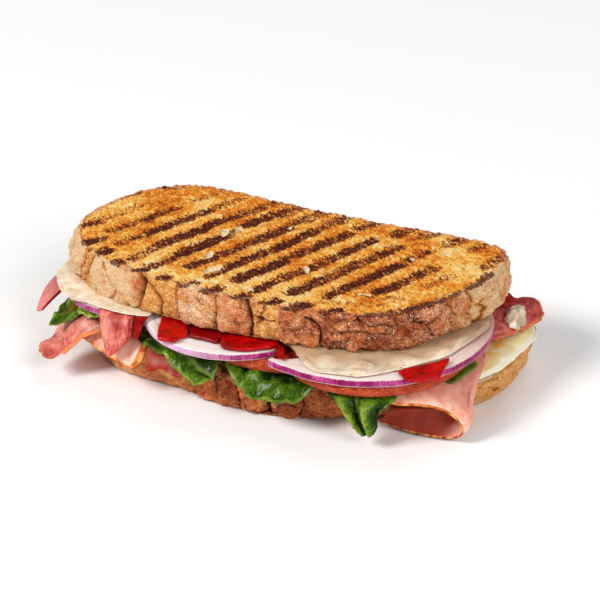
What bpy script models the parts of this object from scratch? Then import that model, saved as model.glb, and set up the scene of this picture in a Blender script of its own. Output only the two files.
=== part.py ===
"""Grilled panini: two slices of country loaf, pressed and toasted, around ham, cured meat, spinach,
tomato, red onion, roasted pepper, melted cheese and a cream sauce.

Sizes below are in millimetres. +X is the long way of the loaf, the open front faces -Y, +Z is up.
"""
import math

import bmesh
import bpy
import numpy as np
from mathutils import Vector
from mathutils import noise
from mathutils.geometry import delaunay_2d_cdt

MM = 0.001

# Plan position of the middle of the finished sandwich, which becomes the origin.
ORIGIN_X = -5.065
ORIGIN_Y = -4.48

# Heights of the stack.
BOTTOM_SLICE_TOP = 16.0
CHEESE_LOW = 16.35
CHEESE_HIGH = 17.9
HAM_LEVEL = 18.85
LEAF_LEVEL = 20.4
TOMATO_LOW = 21.15
TOMATO_HIGH = 25.8
ONION_LOW = 26.15
ONION_HIGH = 29.2
TOP_LAYER_LOW = 29.55
TOP_SLICE_LOW = 32.0
TOP_SLICE_HIGH = 49.0

# Sheet thicknesses.
HAM_THICK = 0.9
CURED_THICK = 1.1
LEAF_THICK = 0.55
PEPPER_THICK = 1.7

# Grill bars: their direction, groove width and depth, and where each crosses the line y = 0.
BAR_ANGLE = math.radians(64.0)
GROOVE_WIDTH = 4.2
GROOVE_DEPTH = 0.8
BARS_TOP = (-82.0, -70.0, -58.0, -46.5, -34.5, -21.0, -9.0, 3.0, 14.0, 25.5, 37.0, 48.0, 59.5, 71.0)
BARS_BOTTOM = (-75.0, -61.0, -47.0, -33.0, -19.0, -5.0, 9.0, 23.0, 37.0, 51.0, 65.0)

# Outlines of the two slices, walked round from the left end along the front.
TOP_RIM = [(-92, -5), (-89, -16), (-83, -25), (-72, -33), (-60, -38), (-45, -41.5), (-28, -43.5), (-8, -45),
           (12, -45), (30, -43), (43, -39.5), (53, -33), (60, -24), (66, -14), (71, -3), (74.5, 9), (76, 20),
           (75, 28), (71, 33), (64, 35.5), (45, 36.5), (20, 37), (-8, 38), (-30, 39.5), (-50, 41), (-63, 40.5),
           (-73, 36.5), (-81, 28.5), (-87, 18), (-91, 6)]
TOP_UNDER = [(-95, -9), (-91, -20), (-82, -28), (-70, -34.5), (-58, -39), (-42, -42), (-28, -43.5), (-10, -45),
             (8, -43.5), (28, -40), (42, -36), (52, -31), (60, -23), (66, -13), (71, -3), (75, 7), (77, 18),
             (76, 27), (71, 32.5), (62, 35), (45, 36), (20, 36.5), (-8, 37.5), (-30, 39), (-50, 40), (-65, 39.5),
             (-77, 35), (-86, 26), (-92, 14), (-95, 2)]
BASE_RIM = [(-81, -5), (-79, -19), (-73, -31), (-62, -38.5), (-48, -42), (-30, -43.5), (-12, -44.5), (10, -44.5),
            (33, -42.5), (50, -38.5), (64, -32), (74, -25.5), (80, -19.5), (85.5, -9), (87.5, 2), (88, 14),
            (88, 26), (86, 36), (79, 42), (66, 45), (40, 46), (0, 46), (-40, 45), (-62, 41), (-74, 30), (-80, 13)]
BASE_UNDER = [(-76, -5), (-76.5, -16), (-74.5, -25), (-69.5, -32), (-61, -36.6), (-50, -39), (-37, -39.8),
              (-23, -43), (-10, -45.5), (3, -46), (14, -44), (24, -40.5), (34, -35), (46, -28.5), (58, -21.5),
              (69, -14.5), (77, -5.5),
              (81, 5), (83.2, 17), (83, 29), (78, 38.5), (66, 43), (40, 44.5), (0, 45), (-40, 44), (-60, 40),
              (-70, 28), (-74.5, 12)]


def smooth(value, low, high):
    """Eased step from 0 at low to 1 at high."""
    t = np.clip((np.asarray(value, float) - low) / (high - low), 0.0, 1.0)
    return t * t * (3.0 - 2.0 * t)


def spline_loop(points, step):
    """Closed smooth curve through the points, sampled evenly along its length."""
    p = np.array(points, float)
    before, after, last = np.roll(p, 1, 0), np.roll(p, -1, 0), np.roll(p, -2, 0)
    dense = []
    for t in np.linspace(0.0, 1.0, 12, endpoint=False):
        dense.append(0.5 * (2 * p + (after - before) * t + (2 * before - 5 * p + 4 * after - last) * t * t
                            + (3 * p - before - 3 * after + last) * t ** 3))
    dense = np.stack(dense, 1).reshape(-1, 2)
    closed = np.vstack([dense, dense[:1]])
    run = np.r_[0.0, np.cumsum(np.hypot(*np.diff(closed, axis=0).T))]
    count = max(8, int(round(run[-1] / step)))
    want = np.linspace(0.0, run[-1], count, endpoint=False)
    return np.c_[np.interp(want, run, closed[:, 0]), np.interp(want, run, closed[:, 1])]


def inside(loop, points):
    """True for each point that lies inside the closed loop."""
    result = np.zeros(len(points), bool)
    x, y = points[:, 0], points[:, 1]
    for (x1, y1), (x2, y2) in zip(loop, np.roll(loop, -1, 0)):
        if y1 == y2:
            continue
        crosses = (y1 > y) != (y2 > y)
        result ^= crosses & (x < (x2 - x1) * (y - y1) / (y2 - y1) + x1)
    return result


def distance_to(line, points, closed=True):
    """Shortest distance from each point to a line of points."""
    best = np.full(len(points), 1e9)
    ends = np.roll(line, -1, 0) if closed else line[1:]
    for a, b in zip(line, ends):
        run = b - a
        t = np.clip(((points - a) @ run) / (run @ run), 0.0, 1.0)
        best = np.minimum(best, np.hypot(*(points - (a + t[:, None] * run)).T))
    return best


RIM_LOOP = spline_loop(BASE_RIM, 3.0)


def beyond_rim(points):
    """How far each plan point lies outside the bottom slice's upper rim, negative inside it."""
    away = distance_to(RIM_LOOP, points)
    return np.where(inside(RIM_LOOP, points), -away, away)


def make_object(name, vertices, faces, colour, roughness):
    """One closed triangulated body with outward faces and its own material."""
    mesh = bpy.data.meshes.new(name)
    placed = (np.asarray(vertices, float) - (ORIGIN_X, ORIGIN_Y, 0.0)) * MM
    mesh.from_pydata(placed.tolist(), [], faces)
    shape = bmesh.new()
    shape.from_mesh(mesh)
    bmesh.ops.triangulate(shape, faces=shape.faces[:])
    bmesh.ops.recalc_face_normals(shape, faces=shape.faces[:])
    shape.to_mesh(mesh)
    shape.free()
    material = bpy.data.materials.new(name)
    material.use_nodes = True
    shader = material.node_tree.nodes["Principled BSDF"]
    shader.inputs["Base Color"].default_value = (*colour, 1.0)
    shader.inputs["Roughness"].default_value = roughness
    mesh.materials.append(material)
    item = bpy.data.objects.new(name, mesh)
    bpy.context.scene.collection.objects.link(item)
    return item


def fill_loop(loop, step):
    """Triangles that fill a loop, with a staggered grid of points inside it."""
    low, high = loop.min(0), loop.max(0)
    rows = []
    for i, y in enumerate(np.arange(low[1] + step * 0.5, high[1], step * 0.87)):
        xs = np.arange(low[0] + step * (0.25 if i % 2 else 0.75), high[0], step)
        rows.append(np.c_[xs, np.full(len(xs), y)])
    grid = np.vstack(rows) if rows else np.zeros((0, 2))
    keep = inside(loop, grid) & (distance_to(loop, grid) > 0.55 * step)
    points = np.vstack([loop, grid[keep]])
    count = len(loop)
    edges = [(i, (i + 1) % count) for i in range(count)]
    result = delaunay_2d_cdt([Vector(p) for p in points], edges, [], 1, 1e-6)
    origin = [ids[0] for ids in result[3]]
    triangles = [[origin[i] for i in face] for face in result[2]]
    return points, triangles


def make_slab(name, outline, step, inner_step, surfaces, colour, roughness, bulge=0.0):
    """Closed body between a lower and an upper surface over the outline, with a bulged edge."""
    loop = spline_loop(outline, step)
    points, triangles = fill_loop(loop, inner_step)
    low, high = surfaces(points)
    total, count = len(points), len(loop)
    vertices = np.vstack([low, high])
    faces = [face[::-1] for face in triangles] + [[i + total for i in face] for face in triangles]
    ring = [(i, (i + 1) % count) for i in range(count)]
    if bulge:
        run = np.roll(loop, -1, 0) - np.roll(loop, 1, 0)
        run /= np.hypot(*run.T)[:, None]
        turn = 1.0 if signed_area(loop) > 0 else -1.0
        middle = 0.5 * (low[:count] + high[:count])
        middle[:, 0] += run[:, 1] * bulge * turn
        middle[:, 1] -= run[:, 0] * bulge * turn
        vertices = np.vstack([vertices, middle])
        for i, j in ring:
            faces.append([i, j, j + 2 * total, i + 2 * total])
            faces.append([i + 2 * total, j + 2 * total, j + total, i + total])
    else:
        faces += [[i, j, j + total, i + total] for i, j in ring]
    return make_object(name, vertices, faces, colour, roughness)


def signed_area(loop):
    """Area inside the loop, negative when it runs clockwise."""
    following = np.roll(loop, -1, 0)
    return 0.5 * float(np.sum(loop[:, 0] * following[:, 1] - following[:, 0] * loop[:, 1]))


def level(low, high):
    """Flat lower and upper surfaces."""
    def surfaces(points):
        flat = np.zeros(len(points))
        return np.c_[points, flat + low], np.c_[points, flat + high]
    return surfaces


def leaf_surfaces(height, thickness):
    """Two faces either side of the height function, spread along its own normal."""
    def surfaces(points):
        h = 0.05
        middle = height(points)
        slope_x = (height(points + (h, 0.0)) - middle) / h
        slope_y = (height(points + (0.0, h)) - middle) / h
        normal = np.c_[-slope_x, -slope_y, np.ones(len(points))]
        normal /= np.linalg.norm(normal, axis=1)[:, None]
        centre = np.c_[points, middle]
        return centre - normal * thickness / 2, centre + normal * thickness / 2
    return surfaces


def wave(points, size, reach, seed):
    """Gentle seeded ripple over plan points."""
    return np.array([size * noise.noise(Vector((x / reach, y / reach, seed))) for x, y in points])


def make_net_sheet(name, net, across, along, thickness, colour, roughness, ripple=0.0, seed=1.0):
    """Thin closed sheet over a net of control points, smooth both ways."""
    net = np.array(net, float)

    def run_curve(control, values):
        last = len(control) - 1
        index = np.minimum(values.astype(int), last - 1)
        t = (values - index)[:, None, None]
        p0, p1 = control[np.maximum(index - 1, 0)], control[index]
        p2, p3 = control[index + 1], control[np.minimum(index + 2, last)]
        return 0.5 * (2 * p1 + (p2 - p0) * t + (2 * p0 - 5 * p1 + 4 * p2 - p3) * t * t
                      + (3 * p1 - p0 - 3 * p2 + p3) * t ** 3)

    rows = run_curve(net, np.linspace(0, len(net) - 1, along + 1))
    grid = run_curve(rows.transpose(1, 0, 2), np.linspace(0, net.shape[1] - 1, across + 1)).transpose(1, 0, 2)
    normal = np.cross(np.gradient(grid, axis=1), np.gradient(grid, axis=0))
    normal /= np.linalg.norm(normal, axis=2)[:, :, None]
    if ripple:
        shift = wave(grid[:, :, :2].reshape(-1, 2), ripple, 7.0, seed).reshape(grid.shape[:2])
        grid = grid + normal * shift[:, :, None]
    first = (grid + normal * thickness / 2).reshape(-1, 3)
    second = (grid - normal * thickness / 2).reshape(-1, 3)
    total, wide = len(first), across + 1
    faces = []
    for j in range(along):
        for i in range(across):
            a = j * wide + i
            for face in ([a, a + 1, a + wide], [a + 1, a + wide + 1, a + wide]):
                faces.append(face)
                faces.append([k + total for k in face[::-1]])
    border = [i for i in range(across)] + [j * wide + across for j in range(along)]
    border += [along * wide + i for i in range(across, 0, -1)] + [j * wide for j in range(along, 0, -1)]
    for a, b in zip(border, border[1:] + border[:1]):
        faces.append([b, a, a + total, b + total])
    return make_object(name, np.vstack([first, second]), faces, colour, roughness)


# The two slices. Each has a grilled face with pressed bar marks and a flat inner face; the crust
# round the side is uneven.

def radius_round(loop, centre, angles):
    """Distance from the centre to the loop at each angle."""
    around = loop - centre
    angle = np.arctan2(around[:, 1], around[:, 0])
    order = np.argsort(angle)
    return np.interp(angles, angle[order], np.hypot(*around.T)[order], period=2 * math.pi)


def crust_relief(angles, height, seed):
    """Uneven crust: broad lumps with smaller ones on them."""
    values = []
    for a in angles:
        ring = Vector((7.0 * math.cos(a), 4.5 * math.sin(a), height / 14.0 + seed))
        values.append(noise.noise(ring) * 1.2 + noise.noise(ring * 2.7) * 0.7)
    return np.array(values)


def make_slice(name, grilled, inner, z_grilled, z_inner, bars, crumb_relief, colour, seed):
    """A slice of bread whose surface strips follow the grill bars; the face may be uneven between them."""
    centre = np.array([-2.0, -1.0])
    grilled_loop = spline_loop(grilled, 0.6)
    inner_loop = spline_loop(inner, 0.6)
    rim_inset = 1.3
    along = np.array([math.cos(BAR_ANGLE), math.sin(BAR_ANGLE)])
    across = np.array([math.sin(BAR_ANGLE), -math.cos(BAR_ANGLE)])
    around = grilled_loop - centre
    reach = np.hypot(*around.T)
    face_loop = centre + around * ((reach - rim_inset) / reach)[:, None]
    s_loop, t_loop = face_loop @ across, face_loop @ along

    lines = []
    for bar in bars:
        s = bar * across[0]
        lines += [(s - GROOVE_WIDTH / 2, 0.0), (s, 1.0), (s + GROOVE_WIDTH / 2, 0.0)]
    ordered = sorted(lines)
    for (s1, _), (s2, _) in zip(ordered, ordered[1:]):
        if s2 - s1 > GROOVE_WIDTH:
            lines.append(((s1 + s2) / 2, 0.0))
    first, last = s_loop.min(), s_loop.max()
    lines = [line for line in lines if first + 2.5 < line[0] < last - 2.5]
    low_end, high_end = min(lines)[0], max(lines)[0]
    for share in (0.06, 0.2, 0.45, 0.75):
        if low_end - first > 6:
            lines.append((first + (low_end - first) * share, 0.0))
        if last - high_end > 6:
            lines.append((last - (last - high_end) * share, 0.0))
    if low_end - first <= 6:
        lines.append((first + 0.7, 0.0))
    if last - high_end <= 6:
        lines.append((last - 0.7, 0.0))
    lines.sort()

    spans = (0.0, 0.035, 0.22, 0.41, 0.6, 0.79, 0.965, 1.0)
    rows = []
    toward = 1.0 if z_grilled > z_inner else -1.0
    for s, groove in lines:
        crossing = []
        following = np.roll(s_loop, -1)
        hits = np.nonzero((s_loop > s) != (following > s))[0]
        for k in hits:
            share = (s - s_loop[k]) / (following[k] - s_loop[k])
            crossing.append(t_loop[k] + share * (t_loop[(k + 1) % len(t_loop)] - t_loop[k]))
        t_low, t_high = min(crossing), max(crossing)
        row = []
        for span in spans:
            t = t_low + (t_high - t_low) * span
            x, y = along * t + across * s
            edge = 0.0 if span in (0.0, 1.0) else 1.0
            rough = noise.noise(Vector((x / 9.0, y / 9.0, seed))) * crumb_relief * edge
            z = z_grilled - toward * (groove * GROOVE_DEPTH * edge + abs(rough))
            row.append((x, y, z))
        rows.append(row)

    vertices = [p for row in rows for p in row]
    faces = []
    wide = len(spans)
    for j in range(len(rows) - 1):
        for i in range(wide - 1):
            a = j * wide + i
            faces.append([a, a + 1, a + wide + 1, a + wide])
    final = len(rows) - 1
    border = [j * wide for j in range(final)] + [final * wide + i for i in range(wide - 1)]
    border += [j * wide + wide - 1 for j in range(final, 0, -1)] + [i for i in range(wide - 1, 0, -1)]
    ring_points = np.array([vertices[i] for i in border])[:, :2]
    angles = np.arctan2(ring_points[:, 1] - centre[1], ring_points[:, 0] - centre[0])
    out_radius = radius_round(grilled_loop, centre, angles)
    in_radius = radius_round(inner_loop, centre, angles)
    previous = border
    count = len(border)
    for share, offset, rough in ((0.07, -0.3, 0.5), (0.2, 0.3, 0.9), (0.42, 0.6, 1.0), (0.66, 0.6, 1.0),
                                 (0.88, 0.1, 0.8), (1.0, -1.6, 0.0)):
        height = z_grilled + (z_inner - z_grilled) * share
        radius = out_radius * (1 - share) + in_radius * share + offset
        radius = radius + crust_relief(angles, height, seed) * rough
        start = len(vertices)
        for a, r in zip(angles, radius):
            vertices.append((centre[0] + math.cos(a) * r, centre[1] + math.sin(a) * r, height))
        current = list(range(start, start + count))
        for k in range(count):
            n = (k + 1) % count
            faces.append([previous[k], previous[n], current[n], current[k]])
        previous = current
    faces.append(previous)
    return make_object(name, vertices, faces, colour, 0.85)


# Rings of red onion and round slices of tomato.

def arc_band(centre, outer, width, start, end, taper=0.0):
    """Plan outline of part of a ring between two angles in degrees, thinned at its start."""
    turns = np.radians(np.linspace(start, end, 30))
    share = np.clip((np.degrees(turns) - start) / taper, 0.2, 1.0) if taper else 1.0
    inner = outer - width * share
    outside = np.c_[centre[0] + outer * np.cos(turns), centre[1] + outer * np.sin(turns)]
    within = np.c_[centre[0] + inner * np.cos(turns), centre[1] + inner * np.sin(turns)]
    return np.vstack([outside, within[::-1]])


def round_slice(centre, reach_x, reach_y, left_end=-1e9, right_end=1e9):
    """Outline of a round slice, cut straight where its neighbour begins."""
    turns = np.linspace(0.0, 2 * math.pi, 40, endpoint=False)
    return [(float(np.clip(centre[0] + reach_x * math.cos(a), left_end, right_end)), centre[1] + reach_y * math.sin(a))
            for a in turns]


# Start from an empty scene.
for item in list(bpy.data.objects):
    bpy.data.objects.remove(item)

make_slice("bread_top", TOP_RIM, TOP_UNDER, TOP_SLICE_HIGH, TOP_SLICE_LOW, BARS_TOP, 0.35, (0.72, 0.42, 0.16), 3.0)
make_slice("bread_bottom", BASE_UNDER, BASE_RIM, 0.0, BOTTOM_SLICE_TOP, BARS_BOTTOM, 0.0, (0.5, 0.25, 0.1), 8.0)


# Melted cheese covers the bottom slice and swells where it shows at the right end.

def cheese_surfaces(points):
    x, y = points.T
    past = beyond_rim(points)
    drip = smooth(past, -1.5, 3.0)
    low = np.full(len(x), CHEESE_LOW)
    swell = smooth(x, 70, 82) * smooth(y, -14, 4) * 1.1
    edge = smooth(-past, 0.0, 4.0)
    high = CHEESE_HIGH + swell * edge - drip * 0.6
    return np.c_[points, low], np.c_[points, high]


CHEESE = [(-73, -6), (-69, -22), (-57, -32), (-30, -37), (0, -39), (28, -37), (46, -31), (62, -24), (75, -18),
          (81.5, -10), (85, -1), (87, 10), (88.5, 19), (88.7, 25), (86.5, 30), (82, 35), (74, 40), (64, 43.5),
          (36, 44.5), (0, 44.5), (-38, 42.5), (-58, 37.5), (-68, 26), (-73, 10)]
make_slab("cheese", CHEESE, 9.0, 16.0, cheese_surfaces, (0.86, 0.72, 0.38), 0.3, bulge=0.5)


# Ham. The left sheets hang over the front of the bottom slice; the right one folds over its
# corner, down to the table and back under itself.

def hanging(start_level, fall, reach, ripple, seed, start=0.0):
    """Height that stays level inside the rim and falls outside it."""
    def height(points):
        past = beyond_rim(points)
        inner = smooth(past, -4.0, 2.0)
        return start_level - fall * smooth(past, start, start + reach) + wave(points, ripple, 6.0, seed) * inner
    return height


HAM_COLOUR = (0.85, 0.48, 0.42)
HAM_LEFT = [(-82, -27), (-80, -35), (-73, -41), (-65, -45.5), (-58, -48.5), (-52, -50.5), (-47.5, -51), (-45, -47),
            (-46, -40), (-46, -10), (-46, 20), (-47, 44), (-58, 42), (-68, 36), (-75, 24), (-78, 5), (-81, -15)]
make_slab("ham_left", HAM_LEFT, 4.6, 7.5, leaf_surfaces(hanging(HAM_LEVEL, 7.2, 11.0, 1.2, 2.0, 0.5), HAM_THICK),
          HAM_COLOUR, 0.4)
HAM_MIDDLE = [(-44, -40), (-43.5, -47), (-41, -51.5), (-36, -50), (-31, -51.5), (-27, -51.5), (-22, -46),
              (-17, -38), (-15, 0), (-16, 44), (-28, 46), (-42, 45), (-44, 10)]
make_slab("ham_middle", HAM_MIDDLE, 4.6, 7.0, leaf_surfaces(hanging(HAM_LEVEL, 6.5, 9.0, 0.9, 5.0, 0.8), HAM_THICK),
          HAM_COLOUR, 0.4)
HAM_FOLD = [
    [(42, -41, 18.9), (48, -44, 18.9), (57, -46, 18), (65.3, -42, 17), (71.6, -38.5, 15), (76, -36.5, 12),
     (79.5, -36, 8), (79.5, -36, 4.5), (76.5, -35.5, 2.2), (71, -36, 1.4), (63, -36.5, 1.3), (55, -36.5, 2),
     (47, -36.5, 3)],
    [(40, -34, 18.9), (47, -36, 18.9), (56, -37, 18.9), (65, -34, 18.6), (72, -31, 17.9), (77, -30, 15.2),
     (81, -31, 11.5), (81.5, -31.5, 7.5), (78, -32.3, 4.6), (72, -32.6, 3.4), (64, -33.6, 3), (56, -34.6, 3.4),
     (48.5, -35.6, 4.4)],
    [(36, -20, 18.9), (45, -20, 18.9), (54, -20, 18.9), (63, -20, 19), (71, -20, 19.2), (78, -21, 18.9),
     (79.6, -26.4, 17), (80.4, -27.2, 13), (79, -28.8, 10), (75, -30, 7.5), (66, -32.4, 6.6), (58, -34.6, 6.6),
     (50.5, -36.4, 7)],
    [(20, 46, 18.9), (34, 47, 18.9), (48, 45, 18.9), (60, 30, 18.9), (69, 14, 19.3), (75, 2, 19.6),
     (78, -4, 20), (78.9, -16.5, 18.9), (79.2, -23.8, 15.5), (77.5, -27.8, 13), (70.5, -32, 12), (61.5, -36, 11.5),
     (53.5, -39, 11)],
]
make_net_sheet("ham_right", HAM_FOLD, 26, 8, HAM_THICK, HAM_COLOUR, 0.4)


# Spinach leaves: thin wavy sheets that hang from between the ham and the tomato.

LEAF_COLOUR = (0.1, 0.25, 0.05)
LEAF_CENTRE = [(-12.5, -38), (-12, -44), (-8, -49.5), (-2, -54), (6, -56.5), (13, -57), (20, -54.5), (25, -49.5),
               (27.5, -43), (26, -30), (10, -24), (-8, -28)]
make_slab("spinach_centre", LEAF_CENTRE, 3.4, 4.5,
          leaf_surfaces(hanging(LEAF_LEVEL, 6.5, 13.0, 2.2, 11.0, 1.0), LEAF_THICK), LEAF_COLOUR, 0.5)
LEAF_CENTRE_LEFT = [(-54.5, -35), (-51, -41.5), (-45, -45.5), (-38, -47.5), (-30, -51.5), (-24, -54), (-17, -56),
                    (-13.5, -52), (-13.2, -46), (-14, -36), (-20, -27), (-40, -25)]
make_slab("spinach_centre_left", LEAF_CENTRE_LEFT, 3.4, 4.5,
          leaf_surfaces(hanging(LEAF_LEVEL, 7.0, 12.0, 1.6, 14.0, 1.6), LEAF_THICK), LEAF_COLOUR, 0.5)
LEAF_RIGHT = [(66, -20), (69.5, -26), (73, -26), (75.6, -18), (77, -11), (73, -8), (66, -12)]
make_slab("spinach_right", LEAF_RIGHT, 3.6, 6.0,
          leaf_surfaces(hanging(LEAF_LEVEL + 0.1, 1.0, 8.0, 0.5, 17.0), 0.5), LEAF_COLOUR, 0.5)
LEAF_LEFT = [(-86.6, -45.6), (-85.4, -43.8), (-82, -38.8), (-78.6, -35.3), (-72, -30), (-62, -24), (-66, -19),
             (-80, -19), (-90, -24.5), (-91, -28), (-90.4, -33), (-88.8, -39), (-87.6, -44)]
make_slab("spinach_left", LEAF_LEFT, 3.6, 5.5,
          leaf_surfaces(hanging(23.4, 3.6, 14.0, 1.2, 20.0, 1.0), LEAF_THICK), (0.2, 0.24, 0.05), 0.5)
LEAF_SLIVER = [(-80, -34), (-78.6, -37.4), (-75.8, -40.4), (-72.4, -41.9), (-69.6, -41.2), (-66, -38), (-63, -33),
               (-70, -28), (-79, -29)]
make_slab("spinach_sliver", LEAF_SLIVER, 3.4, 6.0,
          leaf_surfaces(hanging(25.15, 0.6, 8.0, 0.5, 23.0), LEAF_THICK), (0.35, 0.5, 0.16), 0.5)
LEAF_HANGING = [
    [(31, -38, 20.3), (37, -37, 20.3), (43, -36, 20.3), (50, -37, 20.4), (56, -39, 20.4)],
    [(31, -47, 20.2), (37, -47.5, 20.4), (43, -47, 20.4), (50, -47, 20.5), (57.5, -47, 20.2)],
    [(33, -51, 18), (38, -52.2, 18.4), (43.5, -51.2, 18), (49, -52.2, 18.2), (55, -50, 18.4)],
    [(38.5, -51.5, 14), (41, -53, 13.6), (44.5, -51.4, 13.5), (48.5, -52.8, 13.8), (52, -50.6, 14.2)],
    [(42, -51, 9.5), (43.5, -52.4, 9), (46, -51, 9), (49, -52.2, 9.2), (51.8, -50.6, 9.6)],
    [(45.5, -50.6, 5.4), (46.6, -51.4, 5), (47.8, -50.6, 4.9), (49.2, -51.2, 5), (50.4, -50.4, 5.6)],
]
make_net_sheet("spinach_hanging", LEAF_HANGING, 9, 13, LEAF_THICK, LEAF_COLOUR, 0.5)


# Round tomato slices; they meet at a straight cut under the onion.

TOMATO_COLOUR = (0.6, 0.12, 0.06)
TOMATO_RIGHT = round_slice((36, -12), 38, 41, left_end=17.6)
TOMATO_CENTRE = round_slice((1, -8), 40, 41, right_end=15.6)
for title, outline in (("tomato_right", TOMATO_RIGHT), ("tomato_centre", TOMATO_CENTRE)):
    make_slab(title, outline, 5.0, 14.0, level(TOMATO_LOW, TOMATO_HIGH), TOMATO_COLOUR, 0.35, bulge=0.7)


# Rings of red onion.

ONION_COLOUR = (0.75, 0.5, 0.62)
ONION_LEFT = arc_band((-66, -15), 26, 8, 197, 288)
ONION_CENTRE = arc_band((-18, -21), 35.5, 10, 140, 321)
ONION_RIGHT = arc_band((30, -6.6), 49.4, 10.5, 245, 442, 13.0)
for title, outline in (("onion_left", ONION_LEFT), ("onion_centre", ONION_CENTRE), ("onion_right", ONION_RIGHT)):
    make_slab(title, outline, 4.6, 8.0, level(ONION_LOW, ONION_HIGH), ONION_COLOUR, 0.3, bulge=0.5)


# Strips of roasted red pepper.

PEPPER_COLOUR = (0.6, 0.02, 0.01)


def lying(start_level, front, end, fall, ripple, seed):
    """Height of a strip that lies level and tips down past the front line."""
    def height(points):
        return start_level - fall * smooth(-points[:, 1], -front, -end) + wave(points, ripple, 5.0, seed)
    return height


PEPPER_LEVEL = TOP_LAYER_LOW + PEPPER_THICK / 2
PEPPERS = [
    ("pepper_front", [(-41, -36), (-39.6, -41), (-37.8, -47), (-35.4, -53.2), (-34, -55.5), (-31.5, -55.6), (-27.4, -55.2),
                      (-27, -53), (-26.4, -50.8), (-25.2, -49.2), (-27, -45), (-30, -40), (-33, -33)],
     lying(PEPPER_LEVEL + 0.1, -50, -57, 0.1, 0.2, 31.0), 1.7),
    ("pepper_shade", [(-27.8, -41), (-25.2, -46), (-24, -48.6), (-22, -49), (-17, -49.2), (-13.2, -49.2), (-12.9, -46.5),
                      (-13, -44), (-19, -36), (-26, -35)], lying(PEPPER_LEVEL, -50, -60, 0.1, 0.15, 34.0), 1.4),
    ("pepper_centre", [(-12, -47.2), (-10.6, -50.4), (-8.6, -52), (-5, -52), (-1, -51), (3, -48.6), (6.2, -46.6),
                       (8.4, -44), (9, -41.5), (2, -39.5), (-6, -40), (-11.5, -42)],
     lying(PEPPER_LEVEL, -50, -60, 0.1, 0.15, 37.0), 1.5),
    ("pepper_small", [(9.8, -43), (10, -45.6), (11.6, -48.6), (14.6, -51), (15.4, -51), (13.6, -46.6), (11.4, -42.8)],
     lying(PEPPER_LEVEL - 0.3, -50, -60, 0.1, 0.0, 40.0), 0.9),
    ("pepper_right", [(57.6, -42.6), (58.4, -44.6), (60.8, -47.0), (63, -48.4), (65, -47.8), (69, -45.6), (72, -43.4),
                      (72.6, -42.6), (72, -38), (71.6, -32), (70.8, -28), (66, -34)],
     lying(PEPPER_LEVEL - 0.1, -50, -60, 0.1, 0.15, 43.0), 1.4),
    ("pepper_behind", [(71.5, 28), (74, 30), (76.2, 29.6), (78.4, 27), (79, 24.2), (76.5, 21.6), (72.6, 22.4)],
     lying(PEPPER_LEVEL, -50, -60, 0.0, 0.1, 46.0), 1.4),
]
for title, outline, height, thickness in PEPPERS:
    make_slab(title, outline, 3.0, 8.0, leaf_surfaces(height, thickness), PEPPER_COLOUR, 0.25, bulge=0.2)
PEPPER_POINT = [
    [(-49.2, -39, 30.4), (-47.2, -38.5, 30.4), (-45.4, -39, 30.4)],
    [(-49, -43.6, 30.2), (-47, -44.6, 30.2), (-45.2, -45, 30.2)],
    [(-47.9, -47.2, 27.8), (-46.5, -48.2, 27.6), (-45, -48.4, 28)],
    [(-46.8, -49.8, 24.6), (-46.2, -50, 24.4), (-45.6, -50, 24.8)],
]
make_net_sheet("pepper_point", PEPPER_POINT, 4, 7, 1.0, PEPPER_COLOUR, 0.25)
PEPPER_END = [
    [(-89, -5, 24.8), (-85, -10, 24.8), (-81, -15, 24.8)],
    [(-98.5, -12, 25.6), (-94.5, -18, 25), (-90.5, -23.5, 24.8)],
    [(-99.5, -25, 24), (-96, -28, 24.2), (-92.5, -31, 23.8)],
    [(-96.4, -38.5, 20.8), (-95.4, -38.2, 20.9), (-94.4, -37.6, 21)],
]
make_net_sheet("pepper_end", PEPPER_END, 5, 8, 1.2, (0.62, 0.12, 0.1), 0.3)


# Cured meat: a frilly piece at the left, a pointed one that hangs over the onion and a curl at
# the right end with a dab of sauce in it.

CURED_COLOUR = (0.62, 0.13, 0.11)
CURED_LEFT = [(-91, -46), (-90, -48.5), (-88, -51.5), (-82.5, -54), (-80.5, -50.5), (-78, -50), (-76, -47.5),
              (-71, -45.5), (-64, -43), (-58, -38), (-53, -18), (-57, 0), (-66, 6), (-76, -4), (-83, -16), (-88, -28),
              (-89.5, -38)]
make_slab("cured_left", CURED_LEFT, 3.6, 8.0,
          leaf_surfaces(hanging(21.6, 11.5, 22.0, 1.6, 50.0, 1.0), CURED_THICK), CURED_COLOUR, 0.45)
CURED_POINT = [
    [(-66, -34, 30.1), (-61, -33, 30.1), (-55.5, -33, 30.1), (-51.2, -35, 30.1)],
    [(-65.5, -42.5, 30), (-61, -43.6, 30), (-55.5, -43.9, 30), (-50.6, -43.7, 29.8)],
    [(-63.4, -46, 25), (-60, -48.4, 24.5), (-54.5, -48.6, 24.2), (-49.8, -47.6, 25)],
    [(-60.2, -49.6, 20), (-57.6, -51.6, 19.4), (-54.8, -51.4, 19.6), (-52, -49.8, 20.6)],
    [(-58.2, -52.6, 16.8), (-57.2, -53.2, 16.4), (-56.2, -52.8, 16.8), (-55, -51.8, 17.8)],
]
make_net_sheet("cured_point", CURED_POINT, 8, 12, 0.9, CURED_COLOUR, 0.45, ripple=0.5, seed=53.0)


def curl_height(points):
    y = points[:, 1]
    turned_down = 3.4 * (1.0 - smooth(distance_to(CURL_EDGE, points, False), 0.0, 3.2)) * smooth(y, 12, 24)
    return 20.9 + smooth(y, 8, 37) * 5.6 - turned_down + wave(points, 0.8, 6.0, 56.0)


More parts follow.
